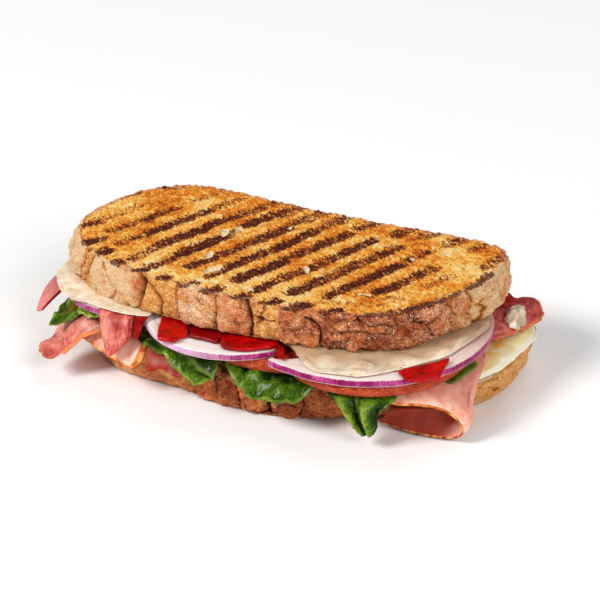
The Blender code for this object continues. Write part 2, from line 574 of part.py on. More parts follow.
CURL_EDGE = np.array([(77.5, 9.2), (81.2, 15.3), (85.2, 22.7), (89.2, 30.0), (88.4, 34.0)], float)
CURED_RIGHT = [(70, 20), (72.5, 12), (77.5, 9.2), (81.2, 15.3), (85.2, 22.7), (89.2, 30.0), (88.4, 34.0), (84.5, 37.2),
               (79, 36), (74.5, 33), (71, 27)]
make_slab("cured_right", CURED_RIGHT, 3.0, 3.4, leaf_surfaces(curl_height, CURED_THICK), CURED_COLOUR, 0.45)


def dab_surfaces(points):
    r = np.hypot((points[:, 0] - 80.4) / 4.2, (points[:, 1] - 24.0) / 6.0)
    low = 22.35 + smooth(points[:, 1], 8, 37) * 5.6
    high = low + 0.4 + 1.3 * np.sqrt(np.clip(1.0 - r ** 2, 0.0, 1.0))
    return np.c_[points, low], np.c_[points, high]


make_slab("sauce_dab", round_slice((80.4, 24.0), 3.9, 5.7), 2.6, 2.8, dab_surfaces, (0.85, 0.82, 0.72), 0.35)


# Cream sauce under the top slice; it runs out as soft lips at the left end and at the front right.

UNDER_LOOP = spline_loop(TOP_UNDER, 3.0)


def sauce_surfaces(points):
    x, y = points.T
    away = distance_to(UNDER_LOOP, points)
    past = np.where(inside(UNDER_LOOP, points), -away, away)
    over_meat = smooth(x, -78, -72) * smooth(-x, 40, 44) * smooth(-y, 20, 26)
    low = TOP_LAYER_LOW + 0.05 + over_meat * 1.5
    outside = smooth(past, 1.0, 4.0)
    left = smooth(-x, 62, 74) * outside * smooth(np.hypot(x + 66, y + 15), 28.5, 31.0)
    low = low - left * 1.6 + wave(points, 0.3, 8.0, 60.0) * outside * (1 - over_meat)
    fall = np.clip(past / 11.0, 0.0, 1.0) ** 1.6
    high = TOP_SLICE_LOW - 0.4 - outside * fall * 1.3 - smooth(-x, 52, 62) * outside * 0.9
    high = np.maximum(high, low + 0.45)
    return np.c_[points, low], np.c_[points, high]


SAUCE = [(-97, -17), (-93, -26), (-88, -33), (-82, -37.5), (-76, -40.5), (-66, -43), (-57, -44), (-51.5, -43.7),
         (-46.5, -43.2), (-44.6, -41.5), (-46, -34), (-42, -27), (-30, -25), (-18, -25), (-4, -28), (7, -34), (11, -39), (17.5, -44.5), (24, -51),
         (30, -54), (38, -53), (45, -51.5), (51, -46.5), (56, -41.5), (62, -34.5), (69, -25), (72.5, -14), (75, -5), (76, 3),
         (73, 10), (70, 20), (64, 28), (45, 34), (20, 37), (-10, 38), (-40, 39.5), (-64, 38), (-78, 30), (-88, 15),
         (-94, 0)]
make_slab("sauce", SAUCE, 4.4, 9.0, sauce_surfaces, (0.85, 0.82, 0.72), 0.35, bulge=0.5)
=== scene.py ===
"""Looks of a grilled panini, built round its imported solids. Sizes in the sections are millimetres."""
import math

import bpy
import numpy as np
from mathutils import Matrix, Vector, noise
from mathutils.geometry import delaunay_2d_cdt


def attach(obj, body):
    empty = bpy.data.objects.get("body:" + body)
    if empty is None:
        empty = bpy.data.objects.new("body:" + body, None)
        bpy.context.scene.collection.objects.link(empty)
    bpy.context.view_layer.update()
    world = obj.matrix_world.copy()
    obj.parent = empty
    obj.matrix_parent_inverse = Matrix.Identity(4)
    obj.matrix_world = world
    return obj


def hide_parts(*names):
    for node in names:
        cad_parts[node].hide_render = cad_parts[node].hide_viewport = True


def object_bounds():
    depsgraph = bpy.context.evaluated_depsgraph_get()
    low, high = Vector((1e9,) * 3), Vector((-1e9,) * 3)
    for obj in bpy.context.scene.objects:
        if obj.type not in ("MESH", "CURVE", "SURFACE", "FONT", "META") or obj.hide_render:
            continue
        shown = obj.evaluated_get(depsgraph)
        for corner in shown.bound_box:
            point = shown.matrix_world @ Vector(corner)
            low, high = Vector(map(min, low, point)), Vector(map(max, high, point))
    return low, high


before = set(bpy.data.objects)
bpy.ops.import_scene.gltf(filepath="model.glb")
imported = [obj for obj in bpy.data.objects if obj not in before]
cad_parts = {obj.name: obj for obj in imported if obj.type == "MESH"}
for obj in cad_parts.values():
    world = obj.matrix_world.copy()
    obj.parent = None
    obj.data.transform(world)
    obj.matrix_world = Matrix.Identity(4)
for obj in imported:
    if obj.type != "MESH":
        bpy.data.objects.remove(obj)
CAD_LOW, CAD_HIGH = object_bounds()


# Bottom slice. A cut of country loaf that lies on its grilled side: open crumb inside a baked crust
# that split in the oven, with bar marks pressed into its underside.

MIDDLE_OF_PLAN = (-5.065, -4.48, 0.0)
RIM_STEP = 0.6


def placed(points):
    """Plan millimetres to the part's own metres, held inside the solids' box."""
    return np.clip((np.asarray(points, float) - MIDDLE_OF_PLAN) * 0.001, CAD_LOW, CAD_HIGH)


def food_piece(name, nodes, vertices, faces, finish, fields=None):
    """A closed smooth piece with outward faces and per-point fields, standing for its solids."""
    spots = placed(vertices)
    mesh = bpy.data.meshes.new(name)
    mesh.from_pydata(spots.tolist(), [], faces)
    mesh.calc_loop_triangles()
    corners = np.empty(len(mesh.loop_triangles) * 3, np.int32)
    mesh.loop_triangles.foreach_get("vertices", corners)
    a, b, c = spots[corners.reshape(-1, 3)].transpose(1, 0, 2)
    if np.sum(a * np.cross(b, c)) < 0:
        mesh.flip_normals()
    mesh.shade_smooth()
    for title, values in (fields or {}).items():
        attribute = mesh.attributes.new(title, "FLOAT", "POINT")
        attribute.data.foreach_set("value", np.full(len(spots), values, np.float32))
    mesh.materials.append(finish)
    piece = bpy.data.objects.new(name, mesh)
    bpy.context.scene.collection.objects.link(piece)
    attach(piece, "root")
    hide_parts(*nodes)
    return piece


def smooth(value, low, high):
    """Eased step from 0 at low to 1 at high."""
    t = np.clip((np.asarray(value, float) - low) / (high - low), 0.0, 1.0)
    return t * t * (3.0 - 2.0 * t)


def lumps(points, size, seed, octaves=1):
    """Soft seeded noise, about -1 to 1, with lumps of the given size."""
    place = np.asarray(points, float)
    if place.shape[1] == 2:
        place = np.c_[place, np.zeros(len(place))]
    place = place / size + (seed, 0.37 * seed, -0.71 * seed)
    total = np.zeros(len(place))
    for step in range(octaves):
        total += np.array([noise.noise(p) for p in (place * 2.0 ** step).tolist()]) * 0.5 ** step
    return total


def spline_loop(points, step):
    """Closed smooth curve through the points, sampled evenly along its length."""
    p = np.array(points, float)
    before, after, last = np.roll(p, 1, 0), np.roll(p, -1, 0), np.roll(p, -2, 0)
    dense = []
    for t in np.linspace(0.0, 1.0, 12, endpoint=False):
        dense.append(0.5 * (2 * p + (after - before) * t + (2 * before - 5 * p + 4 * after - last) * t * t
                            + (3 * p - before - 3 * after + last) * t ** 3))
    dense = np.stack(dense, 1).reshape(-1, 2)
    closed = np.vstack([dense, dense[:1]])
    run = np.r_[0.0, np.cumsum(np.hypot(*np.diff(closed, axis=0).T))]
    count = max(8, int(round(run[-1] / step)))
    want = np.linspace(0.0, run[-1], count, endpoint=False)
    return np.c_[np.interp(want, run, closed[:, 0]), np.interp(want, run, closed[:, 1])]


def inside(loop, points):
    """True for each point that lies inside the closed loop."""
    result = np.zeros(len(points), bool)
    x, y = points[:, 0], points[:, 1]
    for (x1, y1), (x2, y2) in zip(loop, np.roll(loop, -1, 0)):
        if y1 != y2:
            result ^= ((y1 > y) != (y2 > y)) & (x < (x2 - x1) * (y - y1) / (y2 - y1) + x1)
    return result


def distance_to(line, points, closed=True):
    """Shortest distance from each point to a line of points."""
    best = np.full(len(points), 1e9)
    ends = np.roll(line, -1, 0) if closed else line[1:]
    for a, b in zip(line, ends):
        run = b - a
        t = np.clip(((points - a) @ run) / (run @ run), 0.0, 1.0)
        best = np.minimum(best, np.hypot(*(points - (a + t[:, None] * run)).T))
    return best


def fill_loop(loop, fine, coarse, depth):
    """Points and triangles that fill a plan loop, finer near its edge, and each point's edge distance."""
    low, high = loop.min(0), loop.max(0)
    kept, away = [loop], [np.zeros(len(loop))]
    for step, nearest, farthest in ((fine, 0.55 * fine, depth), (coarse, depth + 0.4 * coarse, 1e9)):
        rows = []
        for i, y in enumerate(np.arange(low[1] + step * 0.5, high[1], step * 0.87)):
            xs = np.arange(low[0] + step * (0.25 if i % 2 else 0.75), high[0], step)
            rows.append(np.c_[xs, np.full(len(xs), y)])
        grid = np.vstack(rows)
        grid = grid[inside(loop, grid)]
        distance = distance_to(loop, grid)
        keep = (distance > nearest) & (distance < farthest)
        kept.append(grid[keep])
        away.append(distance[keep])
        if depth > 1e8:
            break
    points = np.vstack(kept)
    edges = [(i, (i + 1) % len(loop)) for i in range(len(loop))]
    result = delaunay_2d_cdt([Vector(p) for p in points], edges, [], 1, 1e-6)
    origin = [ids[0] for ids in result[3]]
    return points, [[origin[i] for i in face] for face in result[2]], np.concatenate(away)


def scorch(points, marks):
    """How dark the grill left each plan point, from 0 to 1."""
    value = np.zeros(len(points))
    wander = np.c_[lumps(points, 5.0, 41.0), lumps(points, 5.0, 43.0)] * 0.8
    moved = points + wander
    for x1, y1, x2, y2, half_width, dark in marks:
        line = np.array([(x1, y1), (x2, y2)], float)
        away = distance_to(line, moved, closed=False)
        value = np.maximum(value, dark * (1.0 - smooth(away, half_width - 1.1, half_width + 2.3)))
    return value


def knobs(points, size, seed):
    """Crumb knobs of a size: 1 on their tops, 0 between them."""
    seeds = np.c_[points / size, np.full(len(points), seed)]
    near = np.array([noise.voronoi(p)[0][0] for p in seeds.tolist()])
    return 1.0 - smooth(near, 0.1, 0.66)


def crust_shape(run, height, place, splits, swell, seed):
    """Outward offset of crust points in mm, and how far each lies in a split."""
    out = np.interp(run, *swell)
    cut = np.zeros(len(run))
    nearest = np.full(len(run), 9.0)
    wander = lumps(place, 2.6, seed + 5.0, 2) * 0.6
    here = np.c_[run, height]
    for width, depth, line in splits:
        away = np.maximum(distance_to(np.array(line, float), here, closed=False) + wander * min(width, 1.0), 0.0)
        out -= depth * 1.15 * (1.0 - smooth(away, 0.0, width * 1.2))
        cut = np.maximum(cut, 1.0 - smooth(away, width * 0.3, width))
        nearest = np.minimum(nearest, away / min(1.0, 0.4 + depth * 0.5))
    out += 1.0 * smooth(nearest, 0.0, 4.5) - 0.7
    for cell, width, depth, share in ((11.0, 0.022, 0.5, 1.0), (5.0, 0.03, 0.25, 0.75)):
        seeds = np.c_[run / cell, height / (cell * 0.7), np.full(len(run), seed)] + wander[:, None] * 0.08
        gaps = []
        for p in seeds.tolist():
            near = noise.voronoi(p)[0]
            gaps.append(near[1] - near[0])
        zone = smooth(lumps(place, 13.0, seed + cell, 2), 0.0, 0.3) * (0.2 + 0.8 * smooth(place[:, 0], -50.0, 0.0))
        crack = (1.0 - smooth(np.array(gaps), width, width * 2.6)) * zone
        out -= depth * crack
        cut = np.maximum(cut, crack * share)
    out += lumps(place, 1.6, seed + 9.0, 3) * 0.62 + (np.abs(lumps(place, 5.0, seed + 13.0, 2)) - 0.25) * 1.3
    return out, cut


def bread_slice(grilled, inner, z_grilled, z_inner, seed, face_step, marks, holes, splits, swell, tint, face_tint, hem):
    """Vertices, faces and fields of a slice: grilled face, crust all round and the face on the filling."""
    centre = np.array([-2.0, -1.0])
    rim = spline_loop(grilled, RIM_STEP)
    around = rim - centre
    angles = np.arctan2(around[:, 1], around[:, 0])
    reach = np.hypot(*around.T)
    under = spline_loop(inner, RIM_STEP) - centre
    under_angle = np.arctan2(under[:, 1], under[:, 0])
    order = np.argsort(under_angle)
    under_reach = np.interp(angles, under_angle[order], np.hypot(*under.T)[order], period=2 * math.pi)
    run = np.arange(len(rim)) * RIM_STEP
    ring = np.c_[np.cos(angles), np.sin(angles)]
    down = -1.0 if z_grilled > z_inner else 1.0

    # The grilled face: knobs of crumb, pores, holes, and bars pressed in.
    face_loop = centre + ring * (reach - 1.3)[:, None]
    plan, triangles, away = fill_loop(face_loop, face_step, face_step, 1e9)
    burnt = scorch(plan, marks) * (0.98 + 0.4 * lumps(plan, 5.0, seed + 67.0, 2))
    hollow = np.zeros(len(plan))
    for x, y, rx, ry, turn in holes:
        c, s = math.cos(math.radians(turn)), math.sin(math.radians(turn))
        dx, dy = plan[:, 0] - x, plan[:, 1] - y
        spread = np.hypot((dx * c + dy * s) / rx, (dy * c - dx * s) / ry) + lumps(plan, 1.8, 71.0) * 0.35
        hollow = np.maximum(hollow, 1.0 - smooth(spread, 0.55, 1.1))
    small_pores = smooth(lumps(plan, 2.1, seed + 31.0), 0.38, 0.62)
    pores = small_pores * 0.55 + smooth(lumps(plan, 4.6, seed + 37.0), 0.4, 0.7) * 0.7
    raised = np.clip(0.55 * knobs(plan, 1.7, seed) + 0.45 * (0.5 + 0.9 * lumps(plan, 1.4, seed + 3.0, 2)), 0.0, 1.0)
    depth = 0.05 + (1.0 - raised) * 0.95 + np.abs(lumps(plan, 9.0, seed)) * 0.35 + pores * 0.6
    depth = depth + burnt * 0.45 + hollow * 1.0
    depth = depth * (0.45 + 0.55 * smooth(away, 0.0, 1.2))
    depth = depth + (1.0 - smooth(away, 0.0, 3.0)) * np.abs(lumps(plan, 3.0, seed + 61.0, 2)) * 1.3
    vertices = [np.c_[plan, z_grilled + down * depth]]
    count = len(rim)
    fields = {"scorch": [burnt], "crust": [1.0 - smooth(away + lumps(plan, 2.5, seed + 12.0) * 1.3, 0.4, 1.5)],
              "pale": [face_tint(plan)], "torn": [np.zeros(len(plan))], "split": [pores * 0.25],
              "flour_and_glint": [np.zeros(len(plan))], "hollow": [hollow], "raised": [raised]}
    faces = [list(t) for t in triangles]
    rim_depth = depth[:len(rim)]

    # The crust, ring by ring from the grilled face to the filling.
    previous = list(range(count))
    start = len(plan)
    shares = np.r_[0.012, 0.03, 0.055, 0.085, np.linspace(0.12, 0.94, 23), 0.968, 0.986, 1.0]
    knots = (0.0, 0.07, 0.2, 0.42, 0.66, 0.88, 1.0)
    for share in shares:
        height = z_grilled + (z_inner - z_grilled) * share
        offset = np.interp(share, knots, (-1.3, -0.3, 0.3, 0.6, 0.6, 0.1, -1.6))
        rough = np.interp(share, knots, (0.0, 0.5, 0.9, 1.0, 1.0, 0.8, 0.0))
        radius = reach * (1.0 - share) + under_reach * share + offset
        base = centre + ring * radius[:, None]
        place = np.c_[base, np.full(count, height)]
        broad = np.c_[7.0 * np.cos(angles), 4.5 * np.sin(angles), np.full(count, height / 14.0 + seed)]
        lump = np.array([noise.noise(p) * 1.2 for p in broad.tolist()])
        lump += np.array([noise.noise(p) * 0.7 for p in (broad * 2.7).tolist()])
        out, cut = crust_shape(run, place[:, 2], place, splits, swell, seed)
        calm = min(1.0, share / 0.05) * min(1.0, (1.0 - share) / 0.04)
        spot = centre + ring * (radius + lump * rough + out * calm)[:, None]
        hem_band = float(smooth(share, 0.78, 0.95) * (1.0 - smooth(share, 0.95, 1.0)))
        droop = (0.55 + lumps(place, 3.0, seed + 17.0, 3) * 1.35) * np.interp(run, *hem) * hem_band
        settle = rim_depth * (1.0 - float(smooth(share, 0.0, 0.14)))
        vertices.append(np.c_[spot, height + down * (np.maximum(droop, 0.0) + settle)])
        pale, flour_and_glint, torn = tint(run, place)
        fields["scorch"].append(scorch(spot, marks) * (1.0 - float(smooth(share, 0.02, 0.15))))
        fields["crust"].append(np.full(count, 1.0))
        fields["pale"].append(pale)
        ragged = abs(height - z_inner) + lumps(place, 2.2, seed + 23.0) * 1.1
        fields["torn"].append(np.maximum(torn, 0.9 * (1.0 - smooth(ragged, 0.5, 1.9))))
        fields["split"].append(cut)
        fields["flour_and_glint"].append(flour_and_glint)
        fields["hollow"].append(np.full(count, 0.0))
        fields["raised"].append(0.5 + lumps(place, 1.4, seed + 29.0, 2) * 0.5)
        current = list(range(start, start + count))
        faces += [[previous[k], current[k], current[(k + 1) % count], previous[(k + 1) % count]] for k in range(count)]
        previous = current
        start += count

    # The face on the filling.
    under_loop = vertices[-1][:, :2]
    plan, triangles, away = fill_loop(under_loop, 1.2, 3.0, 6.0)
    deeper = np.arange(len(plan)) >= count
    level = z_inner - down * lumps(plan, 4.0, seed + 19.0, 2) * 0.25 * deeper
    vertices.append(np.c_[plan, level][count:])
    for title, value in (("scorch", 0.0), ("crust", 0.0), ("pale", 0.5), ("torn", 0.0), ("split", 0.0), ("flour_and_glint", 0.0),
                         ("hollow", 0.75), ("raised", 0.5)):
        fields[title].append(np.full(len(plan) - count, value))
    number = np.r_[np.array(previous), np.arange(start, start + len(plan) - count)]
    faces += [[int(number[i]) for i in t[::-1]] for t in triangles]
    return np.vstack(vertices), faces, {title: np.concatenate(values) for title, values in fields.items()}


def paint(red, green, blue):
    """A screen colour, 0 to 255, as the shader's linear colour."""
    screen = np.array([red, green, blue]) / 255.0
    linear = np.where(screen <= 0.04045, screen / 12.92, ((screen + 0.055) / 1.055) ** 2.4)
    return (*linear.tolist(), 1.0)


def new_finish(name, **settings):
    """A material with its node tree and shader; settings go on the shader's own sockets."""
    finish = bpy.data.materials.new(name)
    finish.use_nodes = True
    shader = finish.node_tree.nodes["Principled BSDF"]
    for socket, value in settings.items():
        shader.inputs[socket.replace("_", " ")].default_value = value
    return finish, finish.node_tree, shader


def add(tree, kind, sockets=None, **settings):
    """A shader node with its settings, sockets linked or set."""
    made = tree.nodes.new("ShaderNode" + kind)
    for title, value in settings.items():
        setattr(made, title, value)
    for key, value in (sockets or {}).items():
        if isinstance(value, bpy.types.NodeSocket):
            tree.links.new(value, made.inputs[key])
        else:
            made.inputs[key].default_value = value
    return made


def grain(tree, size, detail=2.0, stretch=(1.0, 1.0, 1.0), turn=0.0, rough=0.5, warp=0.0):
    """Noise, 0 to 1, on the object's own coordinates, with grains of a size in mm, stretched along turned axes."""
    place = add(tree, "TexCoord").outputs["Object"]
    spot = add(tree, "Mapping", {"Vector": place, "Rotation": (0.0, 0.0, turn), "Scale": stretch},
               vector_type="TEXTURE")
    made = add(tree, "TexNoise", {"Vector": spot.outputs[0], "Scale": 1000.0 / size, "Detail": detail,
                                  "Roughness": rough, "Distortion": warp})
    return made.outputs["Fac"]


def cells(tree, size, stretch=(1.0, 1.0, 1.0), feature="F1"):
    """Distance field of scattered cells of a size in mm."""
    place = add(tree, "TexCoord").outputs["Object"]
    spot = add(tree, "Mapping", {"Vector": place, "Scale": stretch})
    return add(tree, "TexVoronoi", {"Vector": spot.outputs[0], "Scale": 1000.0 / size},
               feature=feature).outputs["Distance"]


def field(tree, title):
    """One of the mesh's per-point fields."""
    return add(tree, "Attribute", attribute_name=title).outputs["Fac"]


def maths(tree, operation, *values):
    """A math node's result."""
    return add(tree, "Math", dict(enumerate(values)), operation=operation).outputs[0]


def ease(tree, value, low, high):
    """Eased step of a value from 0 at low to 1 at high."""
    made = add(tree, "MapRange", {"Value": value, "From Min": low, "From Max": high}, interpolation_type="SMOOTHSTEP")
    return made.outputs["Result"]


def blend(tree, share, first, second, mode="MIX"):
    """Two colours mixed."""
    return add(tree, "Mix", {0: share, 6: first, 7: second}, data_type="RGBA", blend_type=mode).outputs[2]


def tones(tree, value, *stops):
    """A run of colours over a value."""
    made = add(tree, "ValToRGB", {"Fac": value})
    ramp = made.color_ramp
    while len(ramp.elements) < len(stops):
        ramp.elements.new(0.5)
    for element, (position, colour) in zip(ramp.elements, stops):
        element.position = position
        element.color = colour
    return made.outputs["Color"]


def relief(tree, shader, height, depth):
    """Bump of a depth in mm on the shader."""
    made = add(tree, "Bump", {"Height": height, "Distance": depth * 0.001, "Strength": 1.0})
    tree.links.new(made.outputs["Normal"], shader.inputs["Normal"])


BAR_TURN = math.radians(64.0)


def bread_finish(name, brown, tan, pale):
    """Toasted crumb with grill marks, and a floury baked crust that split; shade is painted into pits, creases and
    splits, and glints onto the floury crust.
    """
    finish, tree, shader = new_finish(name, Specular_IOR_Level=0.12)
    fine = grain(tree, 0.75, 3.0, rough=0.65)
    raised = maths(tree, "SUBTRACT", field(tree, "raised"), 0.5)
    coarse = grain(tree, 2.6, 3.0, rough=0.6)
    broad = grain(tree, 13.0, 2.0)
    across = grain(tree, 1.0, 2.0, stretch=(2.3, 0.6, 1.0), turn=BAR_TURN - math.radians(96.0), rough=0.6)
    mark = field(tree, "scorch")

    heat = maths(tree, "MULTIPLY_ADD", fine, 0.4, maths(tree, "MULTIPLY_ADD", coarse, 0.7,
                                                        maths(tree, "MULTIPLY", broad, 0.5)))
    heat = maths(tree, "MULTIPLY_ADD", across, 0.65, maths(tree, "SUBTRACT", heat, 0.52))
    # Painted light and shade: the crumb is painted paler on its raised knobs and browner in the pits between them.
    heat = maths(tree, "MULTIPLY_ADD", raised, -0.18, heat)
    heat = maths(tree, "ADD", heat, maths(tree, "MULTIPLY", maths(tree, "SUBTRACT", 0.5, field(tree, "pale")), 0.5))
    crumb = tones(tree, heat, (0.38, paint(255, 228, 162)), (0.52, paint(254, 200, 102)), (0.64, paint(244, 162, 54)),
                  (0.8, paint(216, 112, 30)), (0.98, paint(140, 54, 16)))
    ragged = maths(tree, "ADD", mark, maths(tree, "MULTIPLY", maths(tree, "SUBTRACT", across, 0.5), 2.6))
    ragged = maths(tree, "ADD", ragged, maths(tree, "MULTIPLY", maths(tree, "SUBTRACT", fine, 0.5), 1.0))
    ragged = maths(tree, "MULTIPLY_ADD", raised, 0.5, ragged)
    ragged = maths(tree, "MULTIPLY", ragged, ease(tree, mark, 0.02, 0.2))
    halo = ease(tree, ragged, 0.1, 0.52)
    heart = maths(tree, "MULTIPLY", ease(tree, ragged, 0.46, 0.82), ease(tree, mark, 0.2, 0.6))
    crumb = blend(tree, maths(tree, "MULTIPLY", halo, 0.92), crumb,
                  blend(tree, fine, paint(96, 28, 8), paint(194, 78, 26)))
    char = tones(tree, fine, (0.34, paint(38, 14, 10)), (0.52, paint(74, 28, 18)), (0.68, paint(134, 60, 28)))
    crumb = blend(tree, heart, crumb, char)
    hollow = field(tree, "hollow")
    crumb = blend(tree, ease(tree, maths(tree, "MULTIPLY_ADD", fine, 0.3, hollow), 0.35, 0.8), crumb,
                  tones(tree, fine, (0.34, paint(224, 176, 116)), (0.6, paint(255, 238, 204))))

    shade = maths(tree, "MULTIPLY_ADD", coarse, 1.1, maths(tree, "SUBTRACT", field(tree, "pale"), 0.55))
    shade = maths(tree, "MULTIPLY_ADD", grain(tree, 6.0, 3.0), 1.1, maths(tree, "SUBTRACT", shade, 0.55))
    shade = maths(tree, "MULTIPLY_ADD", fine, 0.4, maths(tree, "SUBTRACT", shade, 0.2))
    crust = tones(tree, shade, (0.02, brown), (0.42, tan), (0.85, pale))
    # Painted shade in the pits: the crust colour is darkened where the fine pitted noise is low, the same noise that
    # sinks the bump there.
    pitted = grain(tree, 0.55, 2.0, rough=0.7)
    crust = blend(tree, 0.8, crust, tones(tree, pitted, (0.32, paint(206, 184, 170)), (0.5, paint(246, 242, 238)),
                                          (0.62, paint(255, 255, 255))), "MULTIPLY")
    # Painted shade in the creases: the crust is darkened along the wrinkle lines, where the bump also sinks.
    wrinkle = ease(tree, cells(tree, 3.1, stretch=(1.0, 1.0, 1.35), feature="DISTANCE_TO_EDGE"), 0.0, 0.1)
    crease = maths(tree, "MULTIPLY", maths(tree, "SUBTRACT", 1.0, wrinkle),
                   ease(tree, grain(tree, 4.0, 2.0), 0.45, 0.6))
    crust = blend(tree, maths(tree, "MULTIPLY", crease, 0.3), crust, paint(168, 88, 40))
    flour_glint_share = field(tree, "flour_and_glint")
    dust = maths(tree, "MULTIPLY", flour_glint_share, ease(tree, grain(tree, 1.5, 4.0, rough=0.8), 0.5, 0.6))
    crust = blend(tree, maths(tree, "MULTIPLY", dust, 0.58), crust, paint(252, 214, 178))
    # Painted glints: tiny pale flecks on the floury crust stand in for highlights; the dust just above is the real
    # flour.
    glint = maths(tree, "MULTIPLY", ease(tree, grain(tree, 0.6, 2.0), 0.57, 0.64), ease(tree, flour_glint_share, 0.02, 0.5))
    crust = blend(tree, glint, crust, paint(255, 232, 200))
    torn = tones(tree, maths(tree, "MULTIPLY_ADD", fine, 0.6, maths(tree, "MULTIPLY", coarse, 0.4)),
                 (0.34, paint(166, 88, 30)), (0.5, paint(238, 162, 82)), (0.62, paint(255, 218, 150)))
    bared = ease(tree, maths(tree, "MULTIPLY_ADD", coarse, 0.5, field(tree, "torn")), 0.55, 0.95)
    crust = blend(tree, bared, crust, torn)
    gap = field(tree, "split")
    light_zone = ease(tree, field(tree, "pale"), 0.3, 0.7)
    flank = blend(tree, light_zone, blend(tree, coarse, paint(116, 50, 22), paint(206, 128, 74)),
                  blend(tree, coarse, paint(204, 112, 42), paint(250, 180, 96)))
    crust = blend(tree, maths(tree, "MULTIPLY", ease(tree, gap, 0.12, 0.5), 0.85), crust, flank)
    # Painted shade in the splits: the deepest part of each split is painted dark brown; the golden flank is the crumb
    # the split laid bare.
    floor = blend(tree, light_zone, paint(92, 36, 18), paint(158, 84, 30))
    crust = blend(tree, ease(tree, gap, 0.62, 0.95), crust, floor)
    crust = blend(tree, maths(tree, "MULTIPLY", ease(tree, ragged, 0.25, 0.8), 0.9), crust, paint(84, 34, 18))
    edge = ease(tree, maths(tree, "MULTIPLY_ADD", fine, 0.5, field(tree, "crust")), 0.62, 0.92)
    tree.links.new(blend(tree, edge, crumb, crust), shader.inputs["Base Color"])
    gloss = maths(tree, "MULTIPLY_ADD", coarse, -0.25, maths(tree, "MULTIPLY_ADD", edge, -0.12, 0.86))
    tree.links.new(gloss, shader.inputs["Roughness"])
    height = maths(tree, "MULTIPLY_ADD", fine, 0.7, maths(tree, "MULTIPLY", pitted, 0.6))
    height = maths(tree, "MULTIPLY_ADD", coarse, 0.8, height)
    height = maths(tree, "MULTIPLY_ADD", maths(tree, "MULTIPLY", wrinkle, edge), 0.22, height)
    relief(tree, shader, height, 1.15)
    return finish


BASE_RIM = [(-81, -5), (-79, -19), (-73, -31), (-62, -38.5), (-48, -42), (-30, -43.5), (-12, -44.5), (10, -44.5),
            (33, -42.5), (50, -38.5), (64, -32), (74, -25.5), (80, -19.5), (85.5, -9), (87.5, 2), (88, 14),
            (88, 26), (86, 36), (79, 42), (66, 45), (40, 46), (0, 46), (-40, 45), (-62, 41), (-74, 30), (-80, 13)]
BASE_UNDER = [(-76, -5), (-76.5, -16), (-74.5, -25), (-69.5, -32), (-61, -36.6), (-50, -39), (-37, -39.8), (-23, -43),
              (-10, -45.5), (3, -46), (14, -44), (24, -40.5), (34, -35), (46, -28.5), (58, -21.5), (69, -14.5),
              (77, -5.5), (81, 5), (83.2, 17), (83, 29), (78, 38.5), (66, 43), (40, 44.5), (0, 45), (-40, 44),
              (-60, 40), (-70, 28), (-74.5, 12)]
BASE_SPLITS = [
    (1.3, 1.9, [(73, 15), (74, 9), (75, 4), (73, 0)]),
    (0.8, 0.9, [(93, 10), (94, 7), (95, 3), (95, 0)]),
    (1.5, 1.8, [(104, 13), (105, 9), (107, 6), (107, 1)]),
    (0.7, 0.8, [(84, 12), (85, 7), (84, 3)]),
    (0.7, 0.9, [(120, 12), (121, 7), (119, 2)]),
    (0.9, 0.8, [(186, 12), (190, 8), (196, 6)]),
]
BASE_SWELL = ((0, 60, 68, 73, 76, 90, 100, 104, 108, 112, 118, 150, 421),
              (0, 0.0, -0.7, -0.6, 0.6, 0.6, 0.4, -0.9, -0.9, 0.6, 0.6, 0.0, 0))


def base_tint(run, place):
    """How pale, floury and torn the bottom crust is; the flour share also places the crust's painted glints."""
    pale = np.interp(run, (0, 40, 66, 78, 100, 120, 160, 175, 215, 260, 421),
                     (0.45, 0.5, 0.6, 0.3, 0.22, 0.15, 0.35, 0.9, 0.9, 0.4, 0.45))
    torn = np.interp(run, (60, 65, 71, 75, 101, 104, 109, 113), (0, 0.8, 0.7, 0, 0, 0.9, 0.8, 0))
    torn = torn * smooth(place[:, 2], 2.0, 6.0)
    flour_and_glint = np.interp(run, (0, 80, 170, 180, 210, 421), (0.2, 0.12, 0.1, 0.08, 0.1, 0.2))
    return pale + lumps(place, 9.0, 51.0) * 0.2, flour_and_glint, torn


def base_face(plan):
    """How pale the crumb of the grilled underside is."""
    return 0.5 + lumps(plan, 16.0, 55.0) * 0.25


BASE_BAR_GAP = 14.0
BASE_BAR_HALF_WIDTH = 2.0
BASE_MARKS = []
for start in np.arange(-75.0, 66.0, BASE_BAR_GAP):
    for front, rear, dark in ((-34.0, -12.0, 0.85), (-12.0, 12.0, 0.95), (12.0, 34.0, 0.8)):
        BASE_MARKS.append((start + front / math.tan(BAR_TURN), front, start + rear / math.tan(BAR_TURN), rear,
                           BASE_BAR_HALF_WIDTH, dark))

base_crust = bread_finish("bottom_slice", brown=paint(178, 72, 34), tan=paint(230, 130, 74), pale=paint(255, 190, 118))
vertices, faces, fields = bread_slice(BASE_UNDER, BASE_RIM, z_grilled=0.0, z_inner=16.0, seed=8.0, face_step=1.0,
                                      marks=BASE_MARKS, holes=[], splits=BASE_SPLITS, swell=BASE_SWELL,
                                      tint=base_tint, face_tint=base_face, hem=((0, 421), (0.4, 0.4)))
food_piece("bottom_slice", ["bread_bottom"], vertices, faces, base_crust, fields)


# Melted cheese. A slice laid on the bottom bread that softened under the grill; it swells and runs
# a little over the crust where it shows at the right end.

CHEESE_LOW, CHEESE_HIGH = 16.35, 17.9
RIM_LOOP = spline_loop(BASE_RIM, 3.0)


def beyond(loop, points):
    """How far each plan point lies outside a closed loop, negative inside it."""
    away = distance_to(loop, points)
    return np.where(inside(loop, points), -away, away)


def from_outline(outline, vertices, step=1.0):
    """How far each vertex lies from an outline, seen in plan."""
    return distance_to(spline_loop(outline, step), vertices[:, :2])


def rounded(away, drop, width):
    """How far a face falls towards its edge, in a quarter circle."""
    return drop * (1.0 - np.sqrt(1.0 - (1.0 - np.clip(away / width, 0, 1)) ** 2))


